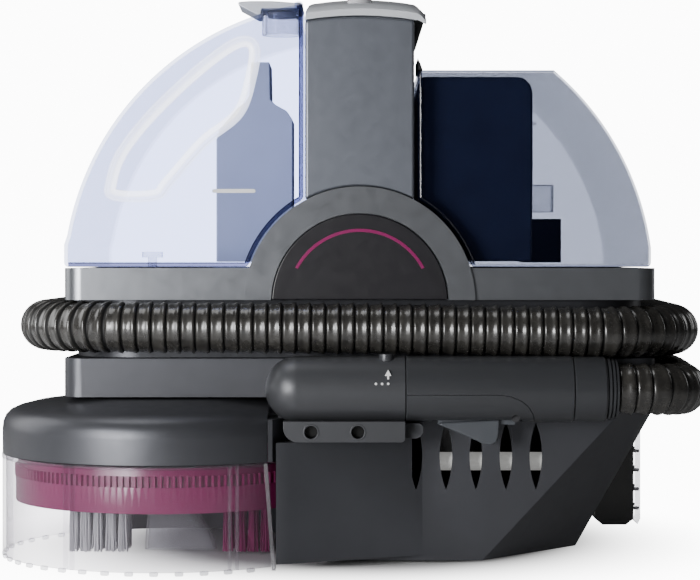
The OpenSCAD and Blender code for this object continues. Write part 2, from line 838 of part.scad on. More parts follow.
module vacuum_motor() {
    color([0.5, 0.5, 0.53]) difference() {
        union() {
            rod_z(fan_x, fan_y, 44.3, 118, 40);
            rod_z(fan_x, fan_y, 117.9, 126, 18);
        }
        rod_z(fan_x, fan_y, 40, 72, 4.05);
    }
}

module water_pump() {
    color([0.25, 0.26, 0.3]) difference() {
        union() {
            slab([-110, 62, 8.7], [-50, 104, 40]);
            rod_z(-80, 83, 39.9, 68, 18);
            rod_x(-50.1, -30, 83, 28, 4);
        }
        rod_z(-80, 83, 14, 36, 17);
        rod_z(-80, 83, 35, 60, 3.05);
    }
}

module pump_rotor() {
    color([0.8, 0.8, 0.82]) {
        rod_z(-80, 83, 16, 20, 8);
        for (k = [0:5]) translate([-80, 83, 20]) rotate([0, 0, 60 * k]) slab([2, -1, -0.1], [15, 1, 12]);
        rod_z(-80, 83, 19, 58, 3);
    }
}

// Pale flow indicator and its pipe, seen through the front slots
module pump_tube() {
    color([0.9, 0.9, 0.88]) rod_x(48, 116, -98, 61.8, 5.7);
}

module control_board() {
    color([0.1, 0.35, 0.2]) {
        slab([-160, board_y, 69], [-60, board_y + 1.6, 120]);
        for (k = [0:3]) slab([-150 + 24 * k, board_y - 12, 70], [-134 + 24 * k, board_y + 0.1, 92]);
    }
}

// --- hand tool and cord --------------------------------------------------------------------
module stain_tool_body() {
    color([0.08, 0.08, 0.09]) difference() {
        along_y(tool_y0, tool_y1) polygon([[161, 12], [161, 74], [166, 80], [182, 80], [187, 74], [187, 12], [182, 8],
            [166, 8]]);
        rod_x(160, 174, 21.5, 60, 3.1);
        rod_x(160, 161, 21.5, 60, 5.3);
    }
}

module stain_tool_window() {
    color([0.85, 0.87, 0.9, 0.5]) along_y(tool_y0 + 1, tool_y1 - 1)
        polygon([[187.2, 12], [187.2, 78], [190, 80], [192, 78], [192, 12], [190, 8]]);
}

module cord_gland() {
    color([0.08, 0.08, 0.08]) difference() {
        union() {
            rod_y(-120, body_back - 6, body_back + 16, 45, 7);
            rod_y(-120, body_back + 0.1, body_back + 3, 45, 11);
        }
        rod_y(-120, body_back - 7, body_back + 17, 45, 3.6);
    }
}

module cord_hook(z, lip) {
    slab([-78, body_back + 0.1, z - 5], [-62, body_back + 26, z + 5]);
    slab([-78, body_back + 22, z - 5 - (lip < 0 ? 20 : 0)], [-62, body_back + 30, z + 5 + (lip > 0 ? 20 : 0)]);
}

module cord_hooks() {
    color([0.24, 0.25, 0.27]) {
        cord_hook(88, 1);
        cord_hook(32, -1);
    }
}

base_pan();
rubber_feet();
base_screws();
front_housing();
rear_housing();
tank_deck();
badge_plate();
tower_front();
tower_rear();
top_cap();
handle_insert();
power_button();
surface_button();
deep_button();
clean_tank();
tank_column();
clean_tank_cap();
cap_hinge_pin();
cap_gasket();
clean_tank_valve();
dirty_tank();
separator();
float_cage();
tank_float();
dirty_tank_plug();
tank_seals();
brush_cover();
brush_window();
brush_spindle();
brush_ring();
brush_arm();
bristles_clear();
bristles_plum();
suction_nozzle();
spray_nozzle();
drive_pinion();
brush_motor();
dock_cradle();
dock_screws();
release_button();
grip_upper();
grip_lower();
grip_nose();
trigger();
trigger_pin();
hose_collar();
hose();
hose_port();
hose_rests();
vacuum_motor();
fan_rotor();
fan_housing();
water_pump();
pump_rotor();
pump_tube();
control_board();
stain_tool_body();
stain_tool_window();
cord_gland();
cord_hooks();
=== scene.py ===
import json
import math
import random

import bmesh
import bpy
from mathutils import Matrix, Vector


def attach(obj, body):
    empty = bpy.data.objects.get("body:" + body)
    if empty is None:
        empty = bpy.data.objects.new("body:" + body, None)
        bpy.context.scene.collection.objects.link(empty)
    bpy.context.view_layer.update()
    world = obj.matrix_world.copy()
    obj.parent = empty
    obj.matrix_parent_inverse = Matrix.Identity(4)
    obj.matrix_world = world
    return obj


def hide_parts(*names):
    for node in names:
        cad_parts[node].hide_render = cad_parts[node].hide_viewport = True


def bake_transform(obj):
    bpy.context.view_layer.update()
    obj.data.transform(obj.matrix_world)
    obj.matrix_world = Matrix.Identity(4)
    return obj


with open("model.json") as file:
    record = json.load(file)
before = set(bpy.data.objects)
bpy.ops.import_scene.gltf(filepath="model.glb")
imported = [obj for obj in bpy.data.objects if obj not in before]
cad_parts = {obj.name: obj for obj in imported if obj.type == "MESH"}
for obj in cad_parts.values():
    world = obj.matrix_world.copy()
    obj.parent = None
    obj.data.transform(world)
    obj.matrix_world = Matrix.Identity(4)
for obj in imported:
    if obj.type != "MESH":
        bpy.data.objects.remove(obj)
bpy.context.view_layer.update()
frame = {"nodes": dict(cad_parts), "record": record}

MM = 0.001

# ---- dimensions shared with the CAD model, in millimetres ------------------------------------
HALF_W, FRONT, BACK = 185.0, -114.5, 139.0
HOUSING_TOP, DECK_LOW, DECK_TOP = 127.5, 163.6, 183.5
TANK_FLOOR = DECK_TOP + 0.6
TANK_FRONT, TANK_BACK = -112.0, 128.0
ARCH_Z, ARCH_R, BADGE_R = 162.4, 71.8, 54.7
TOWER_HALF, TOWER_TOP, CAP_LOW = 34.0, 337.6, 338.2
BRUSH_X, BRUSH_Y = -122.5, -68.5
FLANGE_X = -51.0
GRIP_Y, GRIP_Z, GRIP_R = -134.5, 109.6, 20.2
HOSE_R = 16.0
SPLIT_Y = 45.0
# Strength of the white behind the object, seen directly and through clear plastic
BACKDROP, SEEN_THROUGH = 12.0, 6.0

# ---- mesh helpers ----------------------------------------------------------------------------
SCENE = bpy.context.scene


def link(name, data):
    obj = bpy.data.objects.new(name, data)
    SCENE.collection.objects.link(obj)
    return obj


def from_lists(name, verts, faces):
    """A mesh object from points in millimetres."""
    mesh = bpy.data.meshes.new(name)
    mesh.from_pydata([Vector(v) * MM for v in verts], [], faces)
    bm = bmesh.new()
    bm.from_mesh(mesh)
    bmesh.ops.remove_doubles(bm, verts=bm.verts, dist=1e-7)
    bmesh.ops.recalc_face_normals(bm, faces=bm.faces)
    bm.to_mesh(mesh)
    bm.free()
    return link(name, mesh)


def place(plane, u, v, w):
    """A 3-D point from an outline's two coordinates and the depth along the third axis."""
    return {"XY": (u, v, w), "XZ": (u, w, v), "YZ": (w, u, v)}[plane]


def bridge(low, high, n):
    """The quads between two rings of n points, given by the index that each starts at."""
    return [[low + k, low + (k + 1) % n, high + (k + 1) % n, high + k] for k in range(n)]


def loft(name, rings):
    """A solid through successive rings of points, closed at both ends."""
    n, last = len(rings[0]), len(rings) - 1
    faces = [face for k in range(last) for face in bridge(k * n, (k + 1) * n, n)]
    faces += [list(range(n))[::-1], [last * n + k for k in range(n)]]
    return from_lists(name, [point for ring in rings for point in ring], faces)


def prism(name, outline, plane, low, high):
    n = len(outline)
    verts = [place(plane, u, v, w) for w in (low, high) for u, v in outline]
    faces = [list(range(n))[::-1], list(range(n, 2 * n))] + bridge(0, n, n)
    return from_lists(name, verts, faces)


def box(name, low, high):
    (x0, y0, z0), (x1, y1, z1) = low, high
    return prism(name, [(x0, y0), (x1, y0), (x1, y1), (x0, y1)], "XY", z0, z1)


def arc(cx, cy, r, start, end, steps):
    return [(cx + r * math.cos(math.radians(start + (end - start) * k / steps)),
             cy + r * math.sin(math.radians(start + (end - start) * k / steps))) for k in range(steps + 1)]


def round_rect(low, high, radii, steps=8):
    """An outline with a radius for each corner, counter-clockwise from the low corner."""
    (x0, y0), (x1, y1), (r0, r1, r2, r3) = low, high, radii
    return (arc(x0 + r0, y0 + r0, r0, 180, 270, steps) + arc(x1 - r1, y0 + r1, r1, 270, 360, steps)
            + arc(x1 - r2, y1 - r2, r2, 0, 90, steps) + arc(x0 + r3, y1 - r3, r3, 90, 180, steps))


def lathe(name, profile, centre, axis="Z", sides=96, closed=False):
    """Turns (radius, height) points about an axis through centre."""
    verts, faces = [], []
    rows = len(profile)
    for k in range(sides):
        a = 2 * math.pi * k / sides
        for r, h in profile:
            u, v = r * math.cos(a), r * math.sin(a)
            offset = {"Z": (u, v, h), "X": (h, u, v), "Y": (u, h, v)}[axis]
            verts.append(tuple(centre[i] + offset[i] for i in range(3)))
    last = rows if closed else rows - 1
    for k in range(sides):
        for i in range(last):
            j = (i + 1) % rows
            m = (k + 1) % sides
            faces.append([k * rows + i, m * rows + i, m * rows + j, k * rows + j])
    if not closed:
        for i, r in ((0, profile[0][0]), (rows - 1, profile[-1][0])):
            if r > 1e-6:
                faces.append([k * rows + i for k in range(sides)])
    return from_lists(name, verts, faces)


def cylinder(name, p, r, length, axis="Z", sides=48):
    return lathe(name, [(0, 0), (r, 0), (r, length), (0, length)], p, axis, sides)


def baked(obj):
    """Applies the modifiers that an object has now."""
    graph = bpy.context.evaluated_depsgraph_get()
    mesh = bpy.data.meshes.new_from_object(obj.evaluated_get(graph))
    obj.modifiers.clear()
    obj.data = mesh
    return obj


def combine(obj, other, operation):
    """Joins, cuts or keeps the overlap with another solid, which is used up."""
    mod = obj.modifiers.new("b", "BOOLEAN")
    mod.solver = "EXACT"
    mod.operation = operation
    mod.object = other
    baked(obj)
    bpy.data.objects.remove(other, do_unlink=True)
    return obj


def cut(obj, *others):
    for other in others:
        combine(obj, other, "DIFFERENCE")
    return obj


def add(obj, *others):
    for other in others:
        combine(obj, other, "UNION")
    return obj


def keep(obj, other):
    return combine(obj, other, "INTERSECT")


def sliced(obj, point, normal):
    """Cuts away what lies beyond a plane and closes the cut."""
    bm = bmesh.new()
    bm.from_mesh(obj.data)
    geom = bm.verts[:] + bm.edges[:] + bm.faces[:]
    found = bmesh.ops.bisect_plane(bm, geom=geom, plane_co=Vector(point) * MM, plane_no=Vector(normal),
                                   clear_outer=True)
    edges = [g for g in found["geom_cut"] if isinstance(g, bmesh.types.BMEdge)]
    bmesh.ops.holes_fill(bm, edges=edges, sides=0)
    bmesh.ops.recalc_face_normals(bm, faces=bm.faces)
    bm.to_mesh(obj.data)
    bm.free()
    return obj


def merged(name, objects):
    """Several loose solids as one object."""
    bm = bmesh.new()
    for obj in objects:
        bm.from_mesh(obj.data)
        bpy.data.objects.remove(obj, do_unlink=True)
    mesh = bpy.data.meshes.new(name)
    bm.to_mesh(mesh)
    bm.free()
    return link(name, mesh)


def rounded_edges(obj, width, segments=3, angle=35):
    mod = obj.modifiers.new("edges", "BEVEL")
    mod.width = width * MM
    mod.segments = segments
    mod.limit_method = "ANGLE"
    mod.angle_limit = math.radians(angle)
    mod.harden_normals = False
    return obj


def smooth(obj, angle=32):
    obj.data.polygons.foreach_set("use_smooth", [True] * len(obj.data.polygons))
    obj.data.set_sharp_from_angle(angle=math.radians(angle))
    obj.data.update()
    return obj


def finished(obj, slot, body, *nodes, look=None, bevel=0.0, segments=3, angle=35, smooth_angle=32):
    """Rounds, shades, paints and hangs a piece on its body in place of its CAD nodes.

    Its material is the slot's own, unless look names another.
    """
    if bevel:
        rounded_edges(obj, bevel, segments, angle)
        baked(obj)
    smooth(obj, smooth_angle)
    flatten = obj.modifiers.new("flats", "WEIGHTED_NORMAL")
    flatten.keep_sharp = True
    baked(obj)
    obj.data.materials.clear()
    obj.data.materials.append(MATERIALS[look or slot])
    if nodes:
        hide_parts(*nodes)
    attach(obj, body)
    return obj


def spline_point(points, k, t):
    """A point of the smooth curve through points, at index k plus the fraction t."""
    last = len(points) - 1
    a, b, c, d = (Vector(points[max(0, min(last, i))]) for i in (k - 1, k, k + 1, k + 2))
    square, cube = 2 * a - 5 * b + 4 * c - d, 3 * b - a - 3 * c + d
    return 0.5 * (2 * b + (c - a) * t + square * t * t + cube * t ** 3)


def spline(points, steps):
    curve = [spline_point(points, k, s / steps) for k in range(len(points) - 1) for s in range(steps)]
    return curve + [Vector(points[-1])]


def closed_spline(points, steps):
    n = len(points)
    ring = [(*points[(k - 1) % n], 0) for k in range(n + 3)]
    curve = [spline_point(ring, k, s / steps) for k in range(1, n + 1) for s in range(steps)]
    return [(p.x, p.y) for p in curve]


# ---- materials -------------------------------------------------------------------------------
MATERIALS = {}
# Most of a noise texture's values lie between these
NOISE_LOW, NOISE_HIGH = 0.3, 0.7


def set_inputs(node, values):
    for name, value in values.items():
        node.inputs[name].default_value = value


def new_node(tree, kind, values=None):
    node = tree.nodes.new("ShaderNode" + kind)
    set_inputs(node, values or {})
    return node


def wire(tree, *pairs):
    for output, socket in pairs:
        tree.links.new(output, socket)


def new_material(name):
    MATERIALS[name] = bpy.data.materials.new(name)
    MATERIALS[name].use_nodes = True
    tree = MATERIALS[name].node_tree
    return tree, tree.nodes["Principled BSDF"]


def noise_node(tree, scale, detail=2.0):
    coords = new_node(tree, "TexCoord")
    tex = new_node(tree, "TexNoise", {"Scale": scale, "Detail": detail})
    wire(tree, (coords.outputs["Object"], tex.inputs["Vector"]))
    return tex


def mapped(tree, value, socket, source, target):
    """Wires a value to a socket, moved from the source span to the target span."""
    span = new_node(tree, "MapRange", {"From Min": source[0], "From Max": source[1],
                                       "To Min": target[0], "To Max": target[1]})
    wire(tree, (value, span.inputs["Value"]), (span.outputs["Result"], socket))
    return span


def varied_colour(tree, shader, tex, low, high):
    ramp = new_node(tree, "ValToRGB")
    for k, (position, colour) in enumerate(((NOISE_LOW, low), (NOISE_HIGH, high))):
        ramp.color_ramp.elements[k].position = position
        ramp.color_ramp.elements[k].color = (*colour, 1)
    wire(tree, (tex.outputs["Fac"], ramp.inputs["Fac"]),
         (ramp.outputs["Color"], shader.inputs["Base Color"]))


def varied_gloss(tree, shader, tex, low, high):
    mapped(tree, tex.outputs["Fac"], shader.inputs["Roughness"], (NOISE_LOW, NOISE_HIGH), (low, high))


def bumped(tree, shader, tex, strength, distance):
    bump = new_node(tree, "Bump", {"Strength": strength, "Distance": distance})
    wire(tree, (tex.outputs["Fac"], bump.inputs["Height"]),
         (bump.outputs["Normal"], shader.inputs["Normal"]))


def moulded(name, colour, rough=0.42, metallic=0.0, grain=1400, grain_depth=0.00004, spread=0.03,
            coat=0.0):
    """Moulded plastic: fine grain, slight mottling and uneven gloss."""
    tree, shader = new_material(name)
    dark, light = ([c * share for c in colour] for share in (1 - spread, 1 + spread))
    varied_colour(tree, shader, noise_node(tree, 55, 3.0), dark, light)
    varied_gloss(tree, shader, noise_node(tree, 140, 4.0), rough - 0.02, rough + 0.03)
    bumped(tree, shader, noise_node(tree, grain), 0.35, grain_depth)
    set_inputs(shader, {"Metallic": metallic, "Coat Weight": coat, "Coat Roughness": 0.2})


def metal(name, colour, rough=0.3):
    """Drawn metal with fine brushing lines."""
    tree, shader = new_material(name)
    coords = new_node(tree, "TexCoord")
    mapping = new_node(tree, "Mapping", {"Scale": (60, 60, 1800)})
    tex = new_node(tree, "TexNoise", {"Scale": 1.0})
    wire(tree, (coords.outputs["Object"], mapping.inputs["Vector"]),
         (mapping.outputs["Vector"], tex.inputs["Vector"]))
    varied_colour(tree, shader, tex, [c * 0.85 for c in colour], colour)
    varied_gloss(tree, shader, tex, rough - 0.06, rough + 0.1)
    bumped(tree, shader, tex, 0.2, 0.00002)
    set_inputs(shader, {"Metallic": 1.0})


def clear(name, tint, body_colour, face_share, edge_share, rough=0.03):
    """Clear moulded plastic: tinted to look through face on, glossy where the wall turns away."""
    tree, shader = new_material(name)
    weight = new_node(tree, "LayerWeight", {"Blend": 0.3})
    see_through = new_node(tree, "BsdfTransparent", {"Color": (*tint, 1)})
    mix = new_node(tree, "MixShader")
    varied_colour(tree, shader, noise_node(tree, 30), [c * 0.8 for c in body_colour], body_colour)
    varied_gloss(tree, shader, noise_node(tree, 40), rough, rough + 0.05)
    bumped(tree, shader, noise_node(tree, 16, 1.0), 0.3, 0.0015)
    set_inputs(shader, {"IOR": 1.5, "Coat Weight": 1.0, "Coat Roughness": 0.03})
    mapped(tree, weight.outputs["Facing"], mix.inputs["Fac"], (0.25, 0.97), (face_share, edge_share))
    wire(tree, (see_through.outputs["BSDF"], mix.inputs[1]), (shader.outputs["BSDF"], mix.inputs[2]),
         (mix.outputs["Shader"], tree.nodes["Material Output"].inputs["Surface"]))


moulded("charcoal_plastic", (0.075, 0.077, 0.087), 0.38, 0.6)
moulded("silver_plastic", (0.235, 0.245, 0.265), 0.32, 0.85)
moulded("tower_grey", (0.2, 0.215, 0.25), 0.38, 0.7)
moulded("cap_grey", (0.8, 0.83, 0.88), 0.32, 0.3)
moulded("dock_plastic", (0.06, 0.062, 0.068), 0.36, 0.3)
moulded("grip_plastic", (0.045, 0.047, 0.052), 0.34, 0.25)
moulded("trigger_grey", (0.085, 0.092, 0.104), 0.36, 0.3)
moulded("dark_plastic", (0.028, 0.028, 0.031), 0.45)
moulded("black_plastic", (0.012, 0.012, 0.013), 0.22, coat=0.4)
moulded("badge_black", (0.016, 0.015, 0.018), 0.33, grain_depth=0.00002)
moulded("black_rubber", (0.014, 0.014, 0.015), 0.62, grain=700, grain_depth=0.00008)
moulded("plum_plastic", (0.23, 0.012, 0.095), 0.3, coat=0.3)
moulded("navy_plastic", (0.07, 0.085, 0.17), 0.22, coat=0.5, spread=0.12)
moulded("column_grey", (0.72, 0.74, 0.76), 0.3, coat=0.2)
moulded("nylon_gear", (0.62, 0.61, 0.55), 0.4)
moulded("white_plastic", (0.78, 0.78, 0.75), 0.3)
moulded("light_button", (0.6, 0.6, 0.63), 0.25, coat=0.4)
moulded("red_button", (0.45, 0.02, 0.03), 0.25, coat=0.4)
moulded("float_foam", (0.5, 0.53, 0.58), 0.6, grain=500, grain_depth=0.0001)
moulded("board_green", (0.02, 0.11, 0.045), 0.3)
moulded("clear_bristle", (0.75, 0.75, 0.78), 0.35, grain=3000)
moulded("plum_bristle", (0.26, 0.02, 0.12), 0.35, grain=3000)
moulded("print_white", (0.85, 0.85, 0.85), 0.4, spread=0.02)
metal("screw_steel", (0.62, 0.62, 0.64))
metal("motor_steel", (0.42, 0.42, 0.44), 0.35)
metal("fan_alloy", (0.7, 0.7, 0.72), 0.3)
metal("black_screw", (0.03, 0.03, 0.03), 0.4)
clear("clear_tank", (0.84, 0.87, 0.985), (0.16, 0.18, 0.28), 0.035, 0.6)
clear("clear_side", (0.84, 0.87, 0.985), (0.3, 0.33, 0.46), 0.02, 0.3)
clear("smoke_side", (0.62, 0.635, 0.68), (0.04, 0.05, 0.1), 0.02, 0.45)
# Painted shade: dark navy for the refraction lines along the clean tank's edges.
clear("clear_edge_shade", (0.14, 0.15, 0.28), (0.008, 0.01, 0.035), 0.3, 0.95)
clear("clear_rim_painted_highlight", (1.0, 1.0, 1.0), (1.0, 1.0, 1.0), 0.3, 0.5, 0.12)
# Painted shade: dark smoke for the refraction lines along the dirty tank's edges.
clear("smoke_edge_shade", (0.2, 0.22, 0.3), (0.004, 0.006, 0.02), 0.4, 0.95)
clear("smoke_tank", (0.58, 0.595, 0.64), (0.03, 0.04, 0.1), 0.05, 0.8)
clear("dome_window", (0.95, 0.945, 0.96), (0.3, 0.28, 0.31), 0.06, 0.5)
clear("clear_nozzle", (0.93, 0.93, 0.95), (0.7, 0.7, 0.73), 0.16, 0.85)


def hose_material():
    """Smoky vinyl over a dark inside, uneven along the hose, with a hard gloss."""
    tree, shader = new_material("hose_vinyl")
    varied_colour(tree, shader, noise_node(tree, 130, 3.0), (0.018, 0.017, 0.016), (0.04, 0.038, 0.034))
    varied_gloss(tree, shader, noise_node(tree, 160, 3.0), 0.2, 0.36)
    bumped(tree, shader, noise_node(tree, 260), 0.4, 0.0003)
    set_inputs(shader, {"Coat Weight": 0.6, "Coat Roughness": 0.16})


# Makes a material glow though it is no lamp: painted light.
def glowing(name, colour, strength):
    shader = MATERIALS[name].node_tree.nodes["Principled BSDF"]
    set_inputs(shader, {"Emission Color": (*colour, 1), "Emission Strength": strength})


hose_material()
# Near-black for the deepest part of each groove: painted shade in the creases between ribs.
moulded("hose_groove_shade", (0.004, 0.004, 0.004), 0.6)
moulded("flow_white", (0.85, 0.85, 0.82), 0.3)
# The pump tube's white glows though it is no lamp: painted light on a tube that lies in shade behind the
# vents.
glowing("flow_white", (1, 1, 0.97), 0.22)
# The finger rim's white glow is a painted highlight: the rim is no lamp.
glowing("clear_rim_painted_highlight", (1, 1, 1), 3.5)

for part in frame["record"]["subparts"]:
    for slot in frame["nodes"][part["node"]].material_slots:
        slot.material = MATERIALS[part["material_slot"]]

# ---- camera ----------------------------------------------------------------------------------
camera = link("camera", bpy.data.cameras.new("camera"))
SCENE.camera = camera
camera.data.lens = 104.55
camera.data.sensor_width = 36
camera.data.shift_y = -0.0429
camera.location = Vector((-6.1, -1378.5, 188.5)) * MM
camera.rotation_euler = (math.radians(90), 0, 0)

# ---- hose ------------------------------------------------------------------------------------
HOSE_POINTS = [
    (157.8, -134.5, 109.6), (166.5, -134.5, 109.6), (181.1, -131.8, 109.2), (192.6, -124, 108.7),
    (200, -112, 108.3), (202.5, -97, 108.1), (204.4, -70, 108), (208.6, -30, 108), (212.4, 30, 108),
    (210, 90, 108), (204.4, 123, 108), (191.8, 145.6, 108), (170, 157, 108), (140, 159, 108),
    (90, 159, 109), (30, 158, 113), (-30, 158, 124), (-90, 158, 138), (-140, 155, 145.5), (-180, 138, 147),
    (-201, 104, 147), (-203.5, 50, 147), (-203.5, -10, 147), (-203, -59.5, 147), (-197.5, -84.6, 147),
    (-182.6, -105.1, 147), (-161.5, -118.6, 147), (-137, -122.6, 146.8), (-60, -122.6, 146.4),
    (0, -122.6, 146), (60, -122.6, 145.3), (137, -122.6, 144.1), (161.5, -118.6, 144), (182.6, -105.1, 144),
    (197.5, -84.6, 144), (203, -59.5, 144.2), (203.5, -10, 145), (203.5, 50, 146), (202, 98, 146.5),
    (189, 134, 146.5), (158, 153, 146.5), (125, 158, 146.5), (100, 158, 146.5)]
TAIL_POINTS = 8
RIB_PITCH = 8.9
# Over one rib: the share of the pitch, and the depth below the ridge
RIB_SHAPE = [(0.0, 2.3), (0.035, 1.9), (0.09, 1.15), (0.2, 1.0), (0.35, 1.05), (0.5, 0.95), (0.62, 0.65),
             (0.72, 0.2), (0.8, 0.0), (0.87, 0.1), (0.93, 0.8), (0.965, 1.9)]


def resampled(points, distances):
    """Points at the given distances along a polyline."""
    lengths = [0.0]
    for a, b in zip(points, points[1:]):
        lengths.append(lengths[-1] + (b - a).length)
    found, k = [], 0
    for s in distances:
        while k < len(points) - 2 and lengths[k + 1] < s:
            k += 1
        t = (s - lengths[k]) / (lengths[k + 1] - lengths[k])
        found.append(points[k].lerp(points[k + 1], t))
    return found


def path_length(points):
    return sum((b - a).length for a, b in zip(points, points[1:]))


def corrugated(name, route, sides=40):
    total = path_length(route)
    ribs = max(2, round(total / RIB_PITCH))
    pitch = total / ribs
    stations, depths = [], []
    for rib in range(ribs):
        for share, depth in RIB_SHAPE:
            stations.append((rib + share) * pitch)
            depths.append(depth)
    stations.append(total)
    depths.append(RIB_SHAPE[0][1])
    centres = resampled(route, stations)
    rings = []
    for k, centre in enumerate(centres):
        ahead = centres[min(k + 3, len(centres) - 1)]
        behind = centres[max(k - 3, 0)]
        along = (ahead - behind).normalized()
        side = along.cross(Vector((0, 0, 1))).normalized()
        up = side.cross(along)
        r = HOSE_R - depths[k]
        turns = [2 * math.pi * s / sides for s in range(sides)]
        rings.append([tuple(centre + r * (math.cos(t) * side + math.sin(t) * up)) for t in turns])
    obj = loft(name, rings)
    obj.data.materials.append(MATERIALS["hose_vinyl"])
    obj.data.materials.append(MATERIALS["hose_groove_shade"])
    obj.data.polygons.foreach_set("use_smooth", [True] * len(obj.data.polygons))
    # The rings at the bottom of each groove take the near-black second material: painted shade.
    row = len(RIB_SHAPE)
    for poly in obj.data.polygons:
        ring = min(poly.vertices) // sides % row
        if len(poly.vertices) == 4 and ring in (0, row - 1, row - 2):
            poly.material_index = 1
    return obj


def build_hose():
    curve = spline(HOSE_POINTS, 10)
    joint = TAIL_POINTS * 10
    tail_route, main_route = curve[:joint + 1], curve[joint:]
    tail = corrugated("hose_tail", tail_route)
    main = corrugated("hose_main", main_route)
    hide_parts("hose")
    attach(main, "body")
    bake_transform(tail)


build_hose()

# ---- lower body ------------------------------------------------------------------------------
SIDE_TOP = Vector((185, 0, 92))
SIDE_FOOT = Vector((140.5, 0, 0))
CUT_A, CUT_B, CUT_C = Vector((144.4, FRONT, 74.7)), Vector((75, FRONT, 0)), Vector((140.5, -47.5, 0))
SIDE_N = (SIDE_FOOT - SIDE_TOP).cross(Vector((0, 1, 0))).normalized()
CUT_N = (CUT_B - CUT_A).cross(CUT_C - CUT_A).normalized()


def body_outline(inset):
    return round_rect((-HALF_W + inset, FRONT + inset), (HALF_W - inset, BACK - inset),
                      (12 - inset, 12 - inset, 24 - inset, 24 - inset))


def body_block(name, inset, z0, z1):
    block = prism(name, body_outline(inset), "XY", z0, z1)
    sliced(block, SIDE_TOP - SIDE_N * inset, SIDE_N)
    return sliced(block, CUT_A - CUT_N * inset, CUT_N)


def waist_block(name, inset, z0, z1):
    corner = 45 - inset
    return prism(name, round_rect((-182 + inset, FRONT + 10 + inset), (182 - inset, BACK - 5 - inset),
                                  (corner,) * 4, 12), "XY", z0, z1)


def brush_bay(r, z0, z1, sides=128):
    return cylinder("bay", (BRUSH_X, BRUSH_Y, z0), r, z1 - z0, sides=sides)


def housing(name, y0, y1):
    shell = body_block(name, 0, 1.5, HOUSING_TOP)
    rounded_edges(shell, 2.2, 3, 40)
    baked(shell)
    add(shell, waist_block("waist", 0, HOUSING_TOP - 1, DECK_LOW - 0.3))
    room = body_block("room", 3, -1, HOUSING_TOP - 3)
    add(room, waist_block("waist", 3, HOUSING_TOP - 4, DECK_LOW + 1))
    cut(room, brush_bay(111, -2, 106), box("pocket", (154.5, -0.5, -3), (201, 43.5, 94.5)))
    cut(shell, room, brush_bay(108.5, -1, 103.2), box("pocket", (157, 2, -2), (200, 41, 92)))
    return keep(shell, box("keep", (-260, y0, -5), (260, y1, 170)))


def lens(x, z, half_width, half_height):
    r = (half_height ** 2 + half_width ** 2) / (2 * half_width)
    span = math.degrees(math.asin(half_height / r))
    return (arc(x - r + half_width, z, r, -span, span, 14)[:-1]
            + arc(x + r - half_width, z, r, 180 - span, 180 + span, 14)[:-1])


def build_housings():
    front = housing("front_shell", -200, SPLIT_Y - 0.25)
    cheek = prism("cheek", [(FLANGE_X + 0.3, -153.5), (-42, -151.5), (40, FRONT + 0.5),
                            (FLANGE_X + 0.3, FRONT + 0.5)], "XY", 5, 78.2)
    cut(cheek, brush_bay(108.5, -1, 103))
    add(front, cheek)
    lip = [(-55.9, -150.6), (-53, -150), (-46, -138), (-46, -113), (-55.9, -113)]
    add(front, prism("cheek_lip", lip, "XY", 66.4, 92))
    for x in (34.9, 53.6, 72.2, 90.9, 109.5):
        cut(front, prism("vent", lens(x, 66.5, 3.95, 21), "XZ", FRONT - 3, FRONT + 5))
    cut(front, cylinder("pocket", (-30.5, -15.4, 40), 12.5, 66.5))
    finished(front, "charcoal_plastic", "body", "front_housing", bevel=0.5, segments=2, angle=50)
    rear = housing("rear_shell", SPLIT_Y + 0.25, 200)
    for k in range(8):
        slot = round_rect((10 + 12 * k, 30), (16 + 12 * k, 78), (2.9,) * 4, 5)
        cut(rear, prism("vent", slot, "XZ", BACK - 6, BACK + 2))
    cut(rear, cylinder("hole", (-120, BACK - 9, 45), 7.05, 14, "Y"),
        cylinder("hole", (80, 120, 146.5), 13.1, 30, "Y"))
    finished(rear, "charcoal_plastic", "body", "rear_housing", bevel=0.5, segments=2, angle=50)


build_housings()

# ---- deck, arch and tower --------------------------------------------------------------------
def half_disc(r, floor, steps=64):
    drop = math.degrees(math.asin((floor - ARCH_Z) / r))
    return arc(0, ARCH_Z, r, drop, 180 - drop, steps)


def build_deck():
    deck = prism("deck_shell", body_outline(0), "XY", DECK_LOW, DECK_TOP)
    arch = prism("arch", half_disc(ARCH_R, DECK_LOW), "XZ", FRONT - 2, TANK_BACK - 2)
    add(deck, arch)
    under = prism("under", body_outline(3), "XY", DECK_LOW - 1, DECK_TOP - 3)
    cut(deck, cut(under, prism("keep", half_disc(ARCH_R + 4, DECK_LOW - 2), "XZ", FRONT - 5, FRONT + 6)))
    cut(deck, prism("vault", half_disc(ARCH_R - 3, DECK_LOW - 1), "XZ", FRONT + 6, TANK_BACK - 5))
    cut(deck, prism("badge", half_disc(BADGE_R + 0.5, DECK_LOW - 1), "XZ", FRONT - 4, FRONT + 3.5))
    cut(deck, cylinder("well", (-140, 0, DECK_TOP - 8), 8, 12),
        cylinder("well", (90, 70, DECK_TOP - 8), 14, 12))
    finished(deck, "silver_plastic", "body", "tank_deck", bevel=1.6, segments=4, angle=40)


def build_badge():
    badge = prism("badge_disc", half_disc(BADGE_R, DECK_LOW + 0.2, 96), "XZ", FRONT - 2.4, FRONT + 3.4)
    finished(badge, "badge_black", "body", "badge_plate", bevel=0.9)
    stripe = arc(0, ARCH_Z, 45.5, 28, 152, 48) + arc(0, ARCH_Z, 43.5, 152, 28, 48)
    finished(prism("badge_stripe", stripe, "XZ", FRONT - 2.7, FRONT - 2.2), "plum_plastic", "body",
             bevel=0.1)


def tower_outline():
    """Crowned on top, and resting on the arch."""
    foot = math.sqrt((ARCH_R + 0.3) ** 2 - TOWER_HALF ** 2)
    angle = math.degrees(math.atan2(foot, TOWER_HALF))
    crown = [(TOWER_HALF * (1 - 2 * k / 16), TOWER_TOP + 2.6 * (1 - (1 - 2 * k / 16) ** 2))
             for k in range(17)]
    return crown + arc(0, ARCH_Z, ARCH_R + 0.3, 180 - angle, angle, 24)


